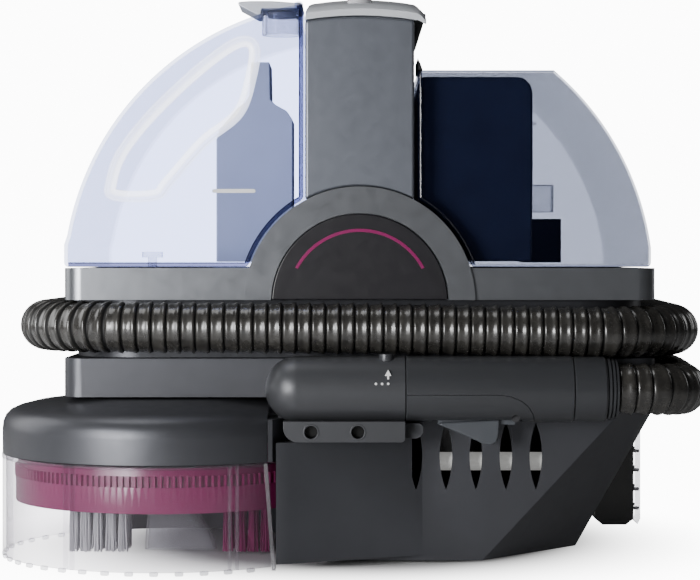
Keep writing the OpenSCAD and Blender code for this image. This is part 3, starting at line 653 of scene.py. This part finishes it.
def build_tower():
    front = prism("tower_face", tower_outline(), "XZ", FRONT + 1.2, -40)
    finished(front, "tower_grey", "body", "tower_front", bevel=1.8, segments=4, angle=40)
    rear = prism("tower_back", tower_outline(), "XZ", -39.6, TANK_BACK - 2)
    cut(rear, box("hand", (-60, -50, 300), (60, 92, 345)))
    cut(rear, cylinder("hole", (0, TANK_BACK - 8, 318), 9.3, 12, "Y"))
    finished(rear, "tower_grey", "body", "tower_rear", bevel=1.6, segments=3, angle=40)


# Height of the handle's top along the machine: (y, z)
CAP_LINE = [(-113.3, 345.0), (-109, 348.2), (-100, 350.2), (-80, 353.0), (-40, 359.6), (0, 364.8),
            (40, 367.6), (90, 367.0), (116, 364.2), (123, 361), (126, 356.5)]


def cap_section(top):
    """The handle's cross-section below a given top height, left foot first."""
    left = [(-TOWER_HALF, CAP_LOW), (-TOWER_HALF, top - 5.5), (-33.2, top - 3.6), (-31, top - 2.6)]
    crown = [(-31 + 66 * t / 12, top - 2.6 * (1 - math.sin(math.pi * (0.12 + 0.76 * t / 12))) / 0.64)
             for t in range(1, 12)]
    right = [(36, top - 3.0), (38.5, top - 4.6), (40.8, top - 7.2), (41.6, top - 9.4), (40.8, top - 9.9),
             (38.6, top - 8.4), (36, top - 7.2), (TOWER_HALF, top - 7.4), (TOWER_HALF, CAP_LOW)]
    foot = [(x, CAP_LOW + 2.7 * (1 - (x / TOWER_HALF) ** 2)) for x in (24, 12, 0, -12, -24)]
    return left + crown + right + foot


def build_cap():
    cap = loft("handle_cap", [[(x, y, z) for x, z in cap_section(top)] for y, top in CAP_LINE])
    for y in (-92, -66):
        cut(cap, cylinder("bore", (0, y, 343.9), 8.3, 30))
    finished(cap, "cap_grey", "body", "top_cap", bevel=0.7, segments=2, angle=55)
    hook = [(34.3, 334.5), (34.3, 341.2), (38.6, 341.8), (41.0, 343.2), (41.6, 341.6), (40.4, 339.0),
            (37.0, 335.0)]
    finished(prism("lip_liner", hook, "XZ", -104, 92), "black_rubber", "body", "handle_insert", bevel=0.5)
    pad = prism("handle_pad", round_rect((-30, -34), (24, 86), (6,) * 4), "XY", 335.8, 339.5)
    finished(pad, "black_rubber", "body", bevel=1.2)


build_deck()
build_badge()
build_tower()
build_cap()

# ---- tanks -----------------------------------------------------------------------------------
def shelled(obj, wall=2.2):
    mod = obj.modifiers.new("wall", "SOLIDIFY")
    mod.thickness = wall * MM
    mod.offset = -1
    mod.use_even_offset = True
    return baked(obj)


def clean_outline():
    cx, cz, r = -7.4, 172.7, 178.0
    x_left, x_right = -184.6, -35.2
    a_left = math.degrees(math.acos((x_left + 2 - cx) / r))
    a_right = math.degrees(math.acos((x_right - cx) / r))
    dome = arc(cx, cz, r, a_right, a_left, 48)
    arch_top = math.degrees(math.asin(math.sqrt(1 - (x_right / (ARCH_R + 1.2)) ** 2)))
    arch_low = math.degrees(math.asin((TANK_FLOOR - ARCH_Z) / (ARCH_R + 1.2)))
    under = arc(0, ARCH_Z, ARCH_R + 1.2, 180 - arch_low, 180 - arch_top, 20)
    return dome + [(x_left, TANK_FLOOR + 14), (x_left, TANK_FLOOR)] + under


FINGER_RECESS = [(-155, 237), (-153, 229), (-128, 229), (-120, 237), (-98, 262), (-76, 280), (-68, 302),
                 (-66, 321), (-76, 324), (-98, 309), (-128, 281), (-148, 256)]


def edged(obj, edge, side, near):
    """Gives the faces that near() picks the edge look, a painted shade for the dark lines that refraction
    draws where the wall is seen edge-on, and the other side walls the side look.
    """
    obj.data.materials.append(MATERIALS[edge])
    obj.data.materials.append(MATERIALS[side])
    for poly in obj.data.polygons:
        centre = poly.center / MM
        if near(centre):
            poly.material_index = 1
        elif abs(poly.normal.y) < 0.5 and centre.y > TANK_FRONT + 9:
            poly.material_index = 2


# Where the clean tank's painted edge shade goes: its right edge, the arch and the floor, near the front.
def clean_edge(p):
    radial = math.hypot(p.x, p.z - ARCH_Z)
    side = p.x > -38.8 or radial < ARCH_R + 4.2 or p.z < TANK_FLOOR + 3
    return side and p.y < TANK_FRONT + 20 and p.x > -181


# Where the dirty tank's painted edge shade goes: its left edge, the arch, the floor and the top, near the
# front.
def dirty_edge(p):
    radial = math.hypot(p.x, p.z - ARCH_Z)
    side = p.x < 39.5 or radial < ARCH_R + 4.0 or p.z < TANK_FLOOR + 1.4 or p.z > 305.4
    return side and p.y < TANK_FRONT + 20


def swept_ring(name, outline, y, r, sides=12):
    """A round bead along a closed outline on the front of a tank."""
    n = len(outline)
    verts, faces = [], []
    for k in range(n):
        faces += bridge(k * sides, (k + 1) % n * sides, sides)
        a, b = outline[(k - 1) % n], outline[(k + 1) % n]
        along = Vector((b[0] - a[0], 0, b[1] - a[1])).normalized()
        side = Vector((-along.z, 0, along.x))
        centre = Vector((outline[k][0], y, outline[k][1]))
        for s in range(sides):
            t = 2 * math.pi * s / sides
            verts.append(tuple(centre + side * (r * math.cos(t)) + Vector((0, 0.6 * r * math.sin(t), 0))))
    return from_lists(name, verts, faces)


def build_clean_tank():
    tank = prism("clean_tank_shell", clean_outline(), "XZ", TANK_FRONT, TANK_BACK)
    rounded_edges(tank, 9, 7, 60)
    baked(tank)
    recess = prism("recess", closed_spline(FINGER_RECESS, 5), "XZ", TANK_FRONT - 5, TANK_FRONT + 7)
    rounded_edges(recess, 3, 3, 60)
    cut(tank, baked(recess))
    rounded_edges(tank, 1.6, 3, 55)
    baked(tank)
    shelled(tank)
    neck = lathe("neck", [(11, 334), (13, 334), (13, 347.8), (11, 347.8)], (-50, -60, 0), closed=True)
    finished(tank, "clear_tank", "clean_tank", "clean_tank", smooth_angle=50)
    edged(tank, "clear_edge_shade", "clear_side", clean_edge)
    # The bead is real; the white glow of its material is a painted highlight.
    rim = swept_ring("finger_rim", closed_spline(FINGER_RECESS, 8), TANK_FRONT + 1.5, 3.6)
    finished(rim, "clear_tank", "clean_tank", look="clear_rim_painted_highlight", smooth_angle=80)
    finished(neck, "clear_tank", "clean_tank", look="clear_nozzle", bevel=0.5)
    level = round_rect((-92, 230.3), (-65, 232.7), (1.1,) * 4, 6)
    finished(prism("fill_line", level, "XZ", TANK_FRONT - 0.4, TANK_FRONT + 0.2), "light_button",
             "clean_tank", look="print_white", bevel=0.1)
    ear_outline = [(-41.5, 347), (-41.5, 352), (-40, 353.5), (-37.5, 353.5), (-36, 352), (-36, 347)]
    for side in (-1, 1):
        y = -60 + side * 21
        ear = prism(f"cap_ear_{side + 1}", ear_outline, "XZ", y - 1.5, y + 1.5)
        finished(ear, "clear_tank", "clean_tank", bevel=0.4)


def build_column():
    outline = [(-99, 187.2), (-99, 272), (-97, 279), (-84, 294.5), (-79, 298), (-76, 303), (-75, 326),
               (-62, 326), (-61.5, 300), (-58, 296.5), (-50, 292), (-46, 286), (-46, 187.2)]
    column = prism("column_body", outline, "XZ", 34, 80)
    cut(column, cylinder("arch", (0, 20, ARCH_Z), ARCH_R + 4, 80, "Y", 180))
    finished(column, "column_grey", "clean_tank", "tank_column", bevel=6, segments=6, angle=25,
             smooth_angle=60)


def build_fill_cap():
    outline = [(-41, 349.7), (-62.5, 349.3), (-63.3, 345.6), (-65.3, 345.2), (-70, 347.6), (-77.3, 351.6),
               (-77.8, 352.6), (-77, 353.6), (-70, 354.2), (-56, 354.2), (-42, 353.1), (-38.5, 353.3),
               (-36.4, 352.2), (-36.0, 350.6), (-37, 349), (-39, 348.6)]
    cap = prism("fill_cap", outline, "XZ", -79.2, -40.8)
    finished(cap, "cap_grey", "clean_tank_cap", "clean_tank_cap", bevel=0.6, angle=30)


def dirty_outline():
    cx, cz, r = 7.4, 172.7, 176.0
    x_left, top = 36.0, 307.0
    a_top = math.degrees(math.asin((top - cz) / r))
    a_low = math.degrees(math.asin((TANK_FLOOR + 12 - cz) / r))
    arch_top = math.degrees(math.asin(math.sqrt(1 - (x_left / (ARCH_R + 1.2)) ** 2)))
    arch_low = math.degrees(math.asin((TANK_FLOOR - ARCH_Z) / (ARCH_R + 1.2)))
    under = arc(0, ARCH_Z, ARCH_R + 1.2, arch_top, arch_low, 20)
    return ([(x_left, top)] + under + [(cx + r * math.cos(math.radians(a_low)), TANK_FLOOR)]
            + arc(cx, cz, r, a_low, a_top, 40))


def build_dirty_tank():
    tank = prism("dirty_tank_shell", dirty_outline(), "XZ", TANK_FRONT, TANK_BACK)
    rounded_edges(tank, 7, 6, 50)
    shelled(baked(tank), 1.4)
    finished(tank, "smoke_tank", "dirty_tank", "dirty_tank", smooth_angle=50)
    edged(tank, "smoke_edge_shade", "smoke_side", dirty_edge)
    catch = [(36.2, 307.2), (39.5, 307.2), (38.2, 311), (36.2, 315)]
    finished(prism("tank_catch", catch, "XZ", -108, -60), "black_rubber", "dirty_tank", bevel=0.5)


def build_separator():
    r = ARCH_R + 4.5
    low = math.degrees(math.asin((TANK_FLOOR + 3.5 - ARCH_Z) / r))
    high = math.degrees(math.asin(math.sqrt(1 - (38.6 / r) ** 2)))
    outline = ([(38.6, 304)] + arc(0, ARCH_Z, r, high, low, 16) + [(108.6, TANK_FLOOR + 3.5), (109.2, 250)]
               + arc(98.6, 293.5, 10.5, 0, 90, 8))
    block = prism("separator_box", outline, "XZ", -98, 50)
    finished(block, "navy_plastic", "dirty_tank", "separator", bevel=2, segments=4, angle=40)


build_clean_tank()
build_column()
build_fill_cap()
build_dirty_tank()
build_separator()

# ---- spinning brush --------------------------------------------------------------------------
COVER_CUT_X = -56.2


def build_cover():
    profile = [(0, 102), (60, 101.6), (85, 98.4), (95.5, 95.8), (100.6, 93.5), (103.8, 90.4), (105.5, 86.4),
               (106, 81.5), (106, 66.6), (105.6, 66.2), (103.4, 66.2), (103.2, 80), (98, 90), (0, 98)]
    cover = lathe("dome_cover", profile, (BRUSH_X, BRUSH_Y, 0), sides=160)
    cut(cover, box("front", (COVER_CUT_X, -200, 50), (60, -100, 110)))
    finished(cover, "charcoal_plastic", "body", "brush_cover", smooth_angle=40)


def radial_box(angle, half_width, r0, r1, z0, z1):
    """The corners of a small block that stands on the brush chamber's wall."""
    a = math.radians(angle)
    along, side = Vector((math.cos(a), math.sin(a), 0)), Vector((-math.sin(a), math.cos(a), 0))
    centre = Vector((BRUSH_X, BRUSH_Y, 0))
    return [tuple(centre + along * r + side * w + Vector((0, 0, z))) for z in (z0, z1)
            for r, w in ((r0, -half_width), (r1, -half_width), (r1, half_width), (r0, half_width))]


BOX_FACES = [[3, 2, 1, 0], [4, 5, 6, 7], [0, 1, 5, 4], [1, 2, 6, 5], [2, 3, 7, 6], [3, 0, 4, 7]]


def blocks(name, corner_lists):
    verts, faces = [], []
    for corners in corner_lists:
        faces += [[len(verts) + i for i in face] for face in BOX_FACES]
        verts += corners
    return from_lists(name, verts, faces)


def window_ring(name, profile, x_right):
    """A ring about the brush, cut off where it meets the body and at its front right end."""
    ring = lathe(name, profile, (BRUSH_X, BRUSH_Y, 0), sides=160, closed=True)
    return cut(ring, box("body", (-184.3, -114.2, -1), (60, 100, 70)),
               box("front", (x_right, -200, -1), (60, -100, 70)))


def build_window():
    wall = window_ring("window_wall", [(106, 66), (106, 2.9), (103.8, 2.9), (103.8, 66)], -54)
    finished(wall, "dome_window", "body", "brush_window", smooth_angle=60)
    tips = []
    for k in range(44):
        angle = k * 360 / 44
        x = BRUSH_X + 105 * math.cos(math.radians(angle))
        y = BRUSH_Y + 105 * math.sin(math.radians(angle))
        if (x < -186 or y < -116) and x < -57:
            tips.append(radial_box(angle, 2.6, 103.6, 106.3, 0.7, 3.4))
    finished(blocks("window_tips", tips), "dome_window", "body", look="clear_nozzle", bevel=0.9)
    ribs = [radial_box(angle, 0.45, 103.0, 107.4, 3, 65.8) for angle in (239.0, 241.6, 295.0, 297.6, 205.0)]
    finished(blocks("window_ribs", ribs), "dome_window", "body", bevel=0.3)
    flange = prism("window_flange", [(-58.2, 65.8), (-55.8, 65.8), (-50.95, 1.2), (-53.2, 1.2)], "XZ",
                   -153.6, -142)
    cut(flange, brush_bay(103, 0, 70))
    finished(flange, "dome_window", "body", look="clear_nozzle", bevel=0.3)
    rim = window_ring("window_rim", [(106.4, 66), (106.4, 63.8), (103.4, 63.8), (103.4, 66)], -56.4)
    finished(rim, "dome_window", "body", smooth_angle=60)


def tufts(name, columns, slot, node, seed):
    """Bundles of fine filaments, each slightly splayed."""
    rng = random.Random(seed)
    verts, faces = [], []
    for x in columns:
        for y in (-80, -68.5, -57):
            for _ in range(34):
                a, q = rng.uniform(0, 2 * math.pi), math.sqrt(rng.random())
                top = Vector((x + 2.3 * q * math.cos(a), y + 2.3 * q * math.sin(a), 36.5))
                low = Vector((x + 3.5 * q * math.cos(a) + rng.uniform(-0.5, 0.5),
                              y + 3.5 * q * math.sin(a) + rng.uniform(-0.5, 0.5),
                              2.2 + rng.uniform(0, 0.8)))
                bow = Vector((rng.uniform(-0.6, 0.6), rng.uniform(-0.6, 0.6), 0))
                start = len(verts)
                for t, r in ((0, 0.42), (0.5, 0.4), (1, 0.28)):
                    centre = top.lerp(low, t) + bow * (4 * t * (1 - t))
                    verts += [tuple(centre + Vector((r * math.cos(b), r * math.sin(b), 0)))
                              for b in (0, 1.571, 3.142, 4.712)]
                faces += bridge(start, start + 4, 4) + bridge(start + 4, start + 8, 4)
                faces.append([start + 11, start + 10, start + 9, start + 8])
    finished(from_lists(name, verts, faces), slot, "brush_carriage", node, smooth_angle=60)


def build_nozzle():
    """A clear scoop that narrows from the slot at the floor to the round duct above."""
    verts, faces, rings, steps = [], [], 9, 40
    for outer in (True, False):
        for i in range(rings):
            t = i / (rings - 1)
            ease = t * t * (3 - 2 * t)
            wall = 0 if outer else 1.8
            half_x = (23 - wall) * (1 - ease) + (13 - wall) * ease
            half_y = (6.5 - wall) * (1 - ease) + (13 - wall) * ease
            for k in range(steps):
                a = 2 * math.pi * k / steps
                power = 0.55 + 0.45 * ease
                u = math.copysign(abs(math.cos(a)) ** power, math.cos(a))
                v = math.copysign(abs(math.sin(a)) ** power, math.sin(a))
                cx = -115 * (1 - ease) + BRUSH_X * ease
                verts.append((cx + half_x * u, BRUSH_Y + half_y * v, 2.6 + 39 * t))
    shell = rings * steps
    for start in (0, shell):
        for low in range(start, start + shell - steps, steps):
            faces += bridge(low, low + steps, steps)
    for low in (0, shell - steps):
        faces += bridge(low, shell + low, steps)
    finished(from_lists("scoop", verts, faces), "clear_nozzle", "brush_carriage", "suction_nozzle",
             smooth_angle=60)


build_cover()
build_window()
tufts("clear_filaments", range(-183, -144, 8), "clear_bristle", "bristles_clear", 3)
tufts("plum_filaments", range(-84, -59, 8), "plum_bristle", "bristles_plum", 5)
build_nozzle()

# ---- dock and grip ---------------------------------------------------------------------------
DOCK_SCREWS, DOCK_SCREW_Z = (-29.6, -1.3), 84.5
PIN_X, PIN_Z = 94.5, 92.2


def grip_slice(x0, x1, r0, r1, name, rim=0.5):
    profile = [(r1, x0 + rim), (r1 - rim, x0), (r0, x0), (r0, x1), (r1 - rim, x1), (r1, x1 - rim)]
    return lathe(name, profile, (0, GRIP_Y, GRIP_Z), "X", sides=96, closed=True)


def build_dock():
    left = -58 + GRIP_R
    ball = [(GRIP_R * math.sin(math.radians(a)), left - GRIP_R * math.cos(math.radians(a)))
            for a in range(0, 91, 6)]
    capsule = lathe("dock_body", ball + [(GRIP_R, 27.2), (GRIP_R - 0.5, 27.6), (0, 27.6)],
                    (0, GRIP_Y, GRIP_Z), "X")
    add(capsule, box("base", (-50, GRIP_Y, GRIP_Z - GRIP_R + 0.3), (27.5, FRONT - 0.2, GRIP_Z + 14)))
    tab = prism("tab", round_rect((-46.5, 78.3), (27.3, 91), (9, 2.5, 0.3, 0.3)), "XZ", -152, FRONT - 0.2)
    rounded_edges(tab, 1.6, 4, 50)
    add(capsule, baked(tab))
    step = prism("step", round_rect((26.8, 80.2), (38.5, 89.4), (0.3, 5, 3, 0.3)), "XZ", -146, FRONT - 0.2)
    rounded_edges(step, 1.0, 3, 50)
    add(capsule, baked(step))
    cut(capsule, cylinder("bore", (-12, GRIP_Y, GRIP_Z), 15.3, 60, "X"),
        cylinder("button", (16, -140.5, 112), 4.7, 30))
    for x in DOCK_SCREWS:
        cut(capsule, cylinder("hole", (x, -154, DOCK_SCREW_Z), 3.9, 10, "Y"))
    finished(capsule, "dock_plastic", "body", "dock_cradle", bevel=0.35, segments=2, angle=50)
    marks = [cylinder("dot", (x, -154.75, 113.9), 0.75, 1.2, "Y", 16) for x in (9.5, 13.2, 16.9)]
    marks.append(prism("arrow", [(14.9, 118.6), (18.9, 118.6), (16.9, 122.2)], "XZ", -153.4, -151.5))
    stem = [(16.3, 116.6), (17.5, 116.6), (17.5, 118.7), (16.3, 118.7)]
    marks.append(prism("stem", stem, "XZ", -153.8, -152))
    finished(merged("dock_marks", marks), "dock_plastic", "body", look="print_white")
    profile = [(3.9, 0), (4.9, 0), (4.9, 0.6), (3.9, 0.6)]
    rims = [lathe("ring", profile, (x, -152.4, DOCK_SCREW_Z), "Y", 40, True) for x in DOCK_SCREWS]
    finished(merged("screw_rims", rims), "dock_plastic", "body", bevel=0.2)


# Outline of the inset panel: the grip's opening for it, and 0.3 mm inside that the panel itself
PANEL_HOLE = [(20, 107.2), (84, 107.2), (91, 106.2), (97, 103.8), (102, 99.8), (105.2, 94.5), (106.6, 89),
              (106.8, 80), (20, 80)]
PANEL = [(20, 106.9), (84, 106.9), (90.9, 105.9), (96.8, 103.5), (101.7, 99.6), (104.9, 94.4), (106.3, 89),
         (106.5, 80), (20, 80)]


def build_grip():
    upper = grip_slice(27.9, 129.6, 15.1, GRIP_R, "grip_top")
    lower = grip_slice(27.9, 129.6, 15.1, GRIP_R, "grip_panel")
    cut(upper, prism("panel", PANEL_HOLE, "XZ", -160, -100))
    keep(lower, prism("panel", PANEL, "XZ", -160, -100))
    cut(lower, box("slot", (44, GRIP_Y - 8.6, 80), (98.9, GRIP_Y + 8.6, 104)),
        cylinder("pin", (PIN_X, -160, PIN_Z), 2.5, 50, "Y"))
    finished(upper, "grip_plastic", "grip", "grip_upper", bevel=0.35, segments=2, angle=50)
    finished(lower, "grip_plastic", "grip", "grip_lower", bevel=0.35, segments=2, angle=50)
    profile = [(12.5, 129.9), (19.2, 129.9), (19.8, 130.5), (19.8, 148.7), (19.2, 149.8), (17.5, 150.2),
               (18.8, 150.9), (18.8, 152.2), (17.1, 152.7), (18.2, 153.4), (18.2, 154.6), (16.8, 155.1),
               (17.6, 155.8), (17.6, 156.7), (16.4, 157.2), (12.5, 157.2)]
    finished(lathe("collar", profile, (0, GRIP_Y, GRIP_Z), "X", 96, True), "grip_plastic", "grip",
             "hose_collar", smooth_angle=25)
    stem = prism("trigger_top", [(47.4, 88.4), (47.4, 93), (94, 96.5), (94.5, 88), (84, 88.5), (60, 88)],
                 "XZ", GRIP_Y - 5, GRIP_Y + 5)
    pad = prism("pad", [(47.4, 88.4), (50, 89.6), (85, 91.3), (84.4, 81.4), (83, 77.5), (79.6, 75.9),
                        (74.7, 76.5), (70, 79)], "XZ", GRIP_Y - 8, GRIP_Y + 8)
    rounded_edges(pad, 1.4, 4, 30)
    add(stem, baked(pad))
    cut(stem, cylinder("pin", (PIN_X, -160, PIN_Z), 2.45, 50, "Y"))
    finished(stem, "trigger_grey", "trigger", "trigger", bevel=0.25, segments=2, angle=50)


def build_stain_tool():
    outline = [(161, 12), (161, 74), (166, 80), (182, 80), (187, 74), (187, 12), (182, 8), (166, 8)]
    tool = prism("tool_body", outline, "XZ", 7, 36)
    cut(tool, cylinder("peg", (160, 21.5, 60), 3.1, 14, "X"),
        cylinder("step", (160, 21.5, 60), 5.3, 1, "X"))
    finished(tool, "black_plastic", "stain_tool", "stain_tool_body", bevel=1.2, segments=4)
    strip = prism("tool_window", [(187.2, 12), (187.2, 78), (189.6, 80), (191.6, 78.6), (192, 76),
                                  (192, 12), (190, 8)], "XZ", 8, 35)
    finished(strip, "clear_nozzle", "stain_tool", "stain_tool_window", bevel=0.6)
    nubs = [blocks("nub", [[(x, y, z) for z in (z0, z0 + 2.2)
                            for x, y in ((187.3, y0), (191.4, y0), (191.4, y0 + 2.4), (187.3, y0 + 2.4))]])
            for z0 in (18, 31, 44, 57, 70) for y0 in (9.5, 30.5)]
    finished(merged("tool_nubs", nubs), "clear_nozzle", "stain_tool", look="clear_bristle", bevel=0.5)


build_dock()
build_grip()
build_stain_tool()

# ---- CAD parts that show as they are ---------------------------------------------------------
# Node and the width of its rounded edges
ROUNDED_NODES = (
    ("power_button", 0.8), ("surface_button", 0.8), ("deep_button", 0.8), ("cord_hooks", 1.5),
    ("hose_rests", 0.8), ("hose_port", 0.8), ("cord_gland", 0.8), ("dirty_tank_plug", 1.0),
    ("rubber_feet", 1.0), ("base_pan", 0.6), ("brush_arm", 1.0), ("release_button", 0.6),
    ("dock_screws", 0.4), ("tank_float", 0.8), ("float_cage", 0.8), ("brush_ring", 0.3),
    ("clean_tank_valve", 0.3), ("spray_nozzle", 0.4))
for node, width in ROUNDED_NODES:
    part = frame["nodes"][node]
    weld = part.modifiers.new("weld", "WELD")
    weld.merge_threshold = 0.00001
    rounded_edges(part, width, 3, 40)
    part.modifiers["edges"].use_clamp_overlap = True
# The pump tube takes the glowing white, which is painted light.
for node, look in (("clean_tank_valve", "clear_nozzle"), ("tank_float", "clear_nozzle"),
                   ("trigger_pin", "dark_plastic"), ("pump_tube", "flow_white")):
    frame["nodes"][node].material_slots[0].material = MATERIALS[look]

# ---- lights, floor ---------------------------------------------------------------------------
# Name, place, target, size in metres, and power
LIGHTS = (("key", (-0.66, -1.25, 0.24), (-0.18, -0.1, 0.17), (0.2, 0.35), 9),
          ("fill", (-0.7, -0.85, 0.28), (-0.16, 0, 0.12), (0.3, 0.5), 7),
          ("top", (-0.4, -0.1, 1.2), (-0.1, 0, 0.2), (0.6, 0.5), 3),
          ("side", (-1.0, 0.2, 0.5), (-0.1, 0, 0.2), (0.7, 0.8), 5),
          ("rim", (1.1, 0.6, 0.5), (0.1, 0, 0.2), (0.2, 0.7), 1))
FLOOR_RINGS, FLOOR_STEPS = (250, 500, 800, 1200, 2000, 4000, 9000), 48


def area_light(name, place_at, target, size, power):
    data = bpy.data.lights.new(name, "AREA")
    data.shape = "RECTANGLE"
    data.size, data.size_y = size
    data.energy = power
    obj = link(name, data)
    obj.location = place_at
    obj.rotation_euler = (Vector(target) - Vector(place_at)).to_track_quat("-Z", "Y").to_euler()


def backdrop_strength(tree, target):
    """Full white where the camera looks straight at the backdrop, and less of it through clear plastic."""
    path, direct = new_node(tree, "LightPath"), new_node(tree, "Math")
    direct.operation = "LESS_THAN"
    direct.inputs[1].default_value = 0.5
    wire(tree, (path.outputs["Transparent Depth"], direct.inputs[0]))
    mapped(tree, direct.outputs["Value"], target, (0, 1), (SEEN_THROUGH, BACKDROP))


def build_world():
    """A faint even light, and white for the camera."""
    world = bpy.data.worlds.new("studio")
    world.use_nodes = True
    tree = world.node_tree
    soft = tree.nodes["Background"]
    set_inputs(soft, {"Color": (1, 1, 1, 1), "Strength": 0.045})
    white = new_node(tree, "Background", {"Color": (1, 1, 1, 1)})
    backdrop_strength(tree, white.inputs["Strength"])
    path, mix = new_node(tree, "LightPath"), new_node(tree, "MixShader")
    wire(tree, (path.outputs["Is Camera Ray"], mix.inputs["Fac"]),
         (soft.outputs["Background"], mix.inputs[1]), (white.outputs["Background"], mix.inputs[2]),
         (mix.outputs["Shader"], tree.nodes["World Output"].inputs["Surface"]))
    SCENE.world = world


def floor_material():
    """Pale under the object, and fading into the white of the backdrop around it."""
    tree, shader = new_material("floor_pale")
    varied_colour(tree, shader, noise_node(tree, 3), (0.88, 0.88, 0.89), (0.92, 0.92, 0.92))
    set_inputs(shader, {"Roughness": 0.6})
    glow = new_node(tree, "Emission", {"Color": (1, 1, 1, 1)})
    backdrop_strength(tree, glow.inputs["Strength"])
    coords, distance = new_node(tree, "TexCoord"), new_node(tree, "VectorMath")
    distance.operation = "LENGTH"
    path, seen, mix = new_node(tree, "LightPath"), new_node(tree, "Math"), new_node(tree, "MixShader")
    seen.operation = "MULTIPLY"
    fade = mapped(tree, distance.outputs["Value"], seen.inputs[0], (0.12, 0.27), (0, 1))
    fade.interpolation_type = "SMOOTHSTEP"
    wire(tree, (coords.outputs["Object"], distance.inputs[0]),
         (path.outputs["Is Camera Ray"], seen.inputs[1]), (seen.outputs["Value"], mix.inputs["Fac"]),
         (shader.outputs["BSDF"], mix.inputs[1]), (glow.outputs["Emission"], mix.inputs[2]),
         (mix.outputs["Shader"], tree.nodes["Material Output"].inputs["Surface"]))


def build_floor():
    floor_material()
    n = FLOOR_STEPS
    turns = [2 * math.pi * k / n for k in range(n)]
    verts = [(0, 0, 0)] + [(r * math.cos(t), r * math.sin(t), 0) for r in FLOOR_RINGS for t in turns]
    faces = [[0, 1 + k, 1 + (k + 1) % n] for k in range(n)]
    for low in range(1, 1 + n * (len(FLOOR_RINGS) - 1), n):
        faces += [[low + k, low + n + k, low + n + (k + 1) % n, low + (k + 1) % n] for k in range(n)]
    floor = from_lists("floor", verts, faces)
    floor.data.materials.append(MATERIALS["floor_pale"])


build_world()
build_floor()
for light in LIGHTS:
    area_light(*light)
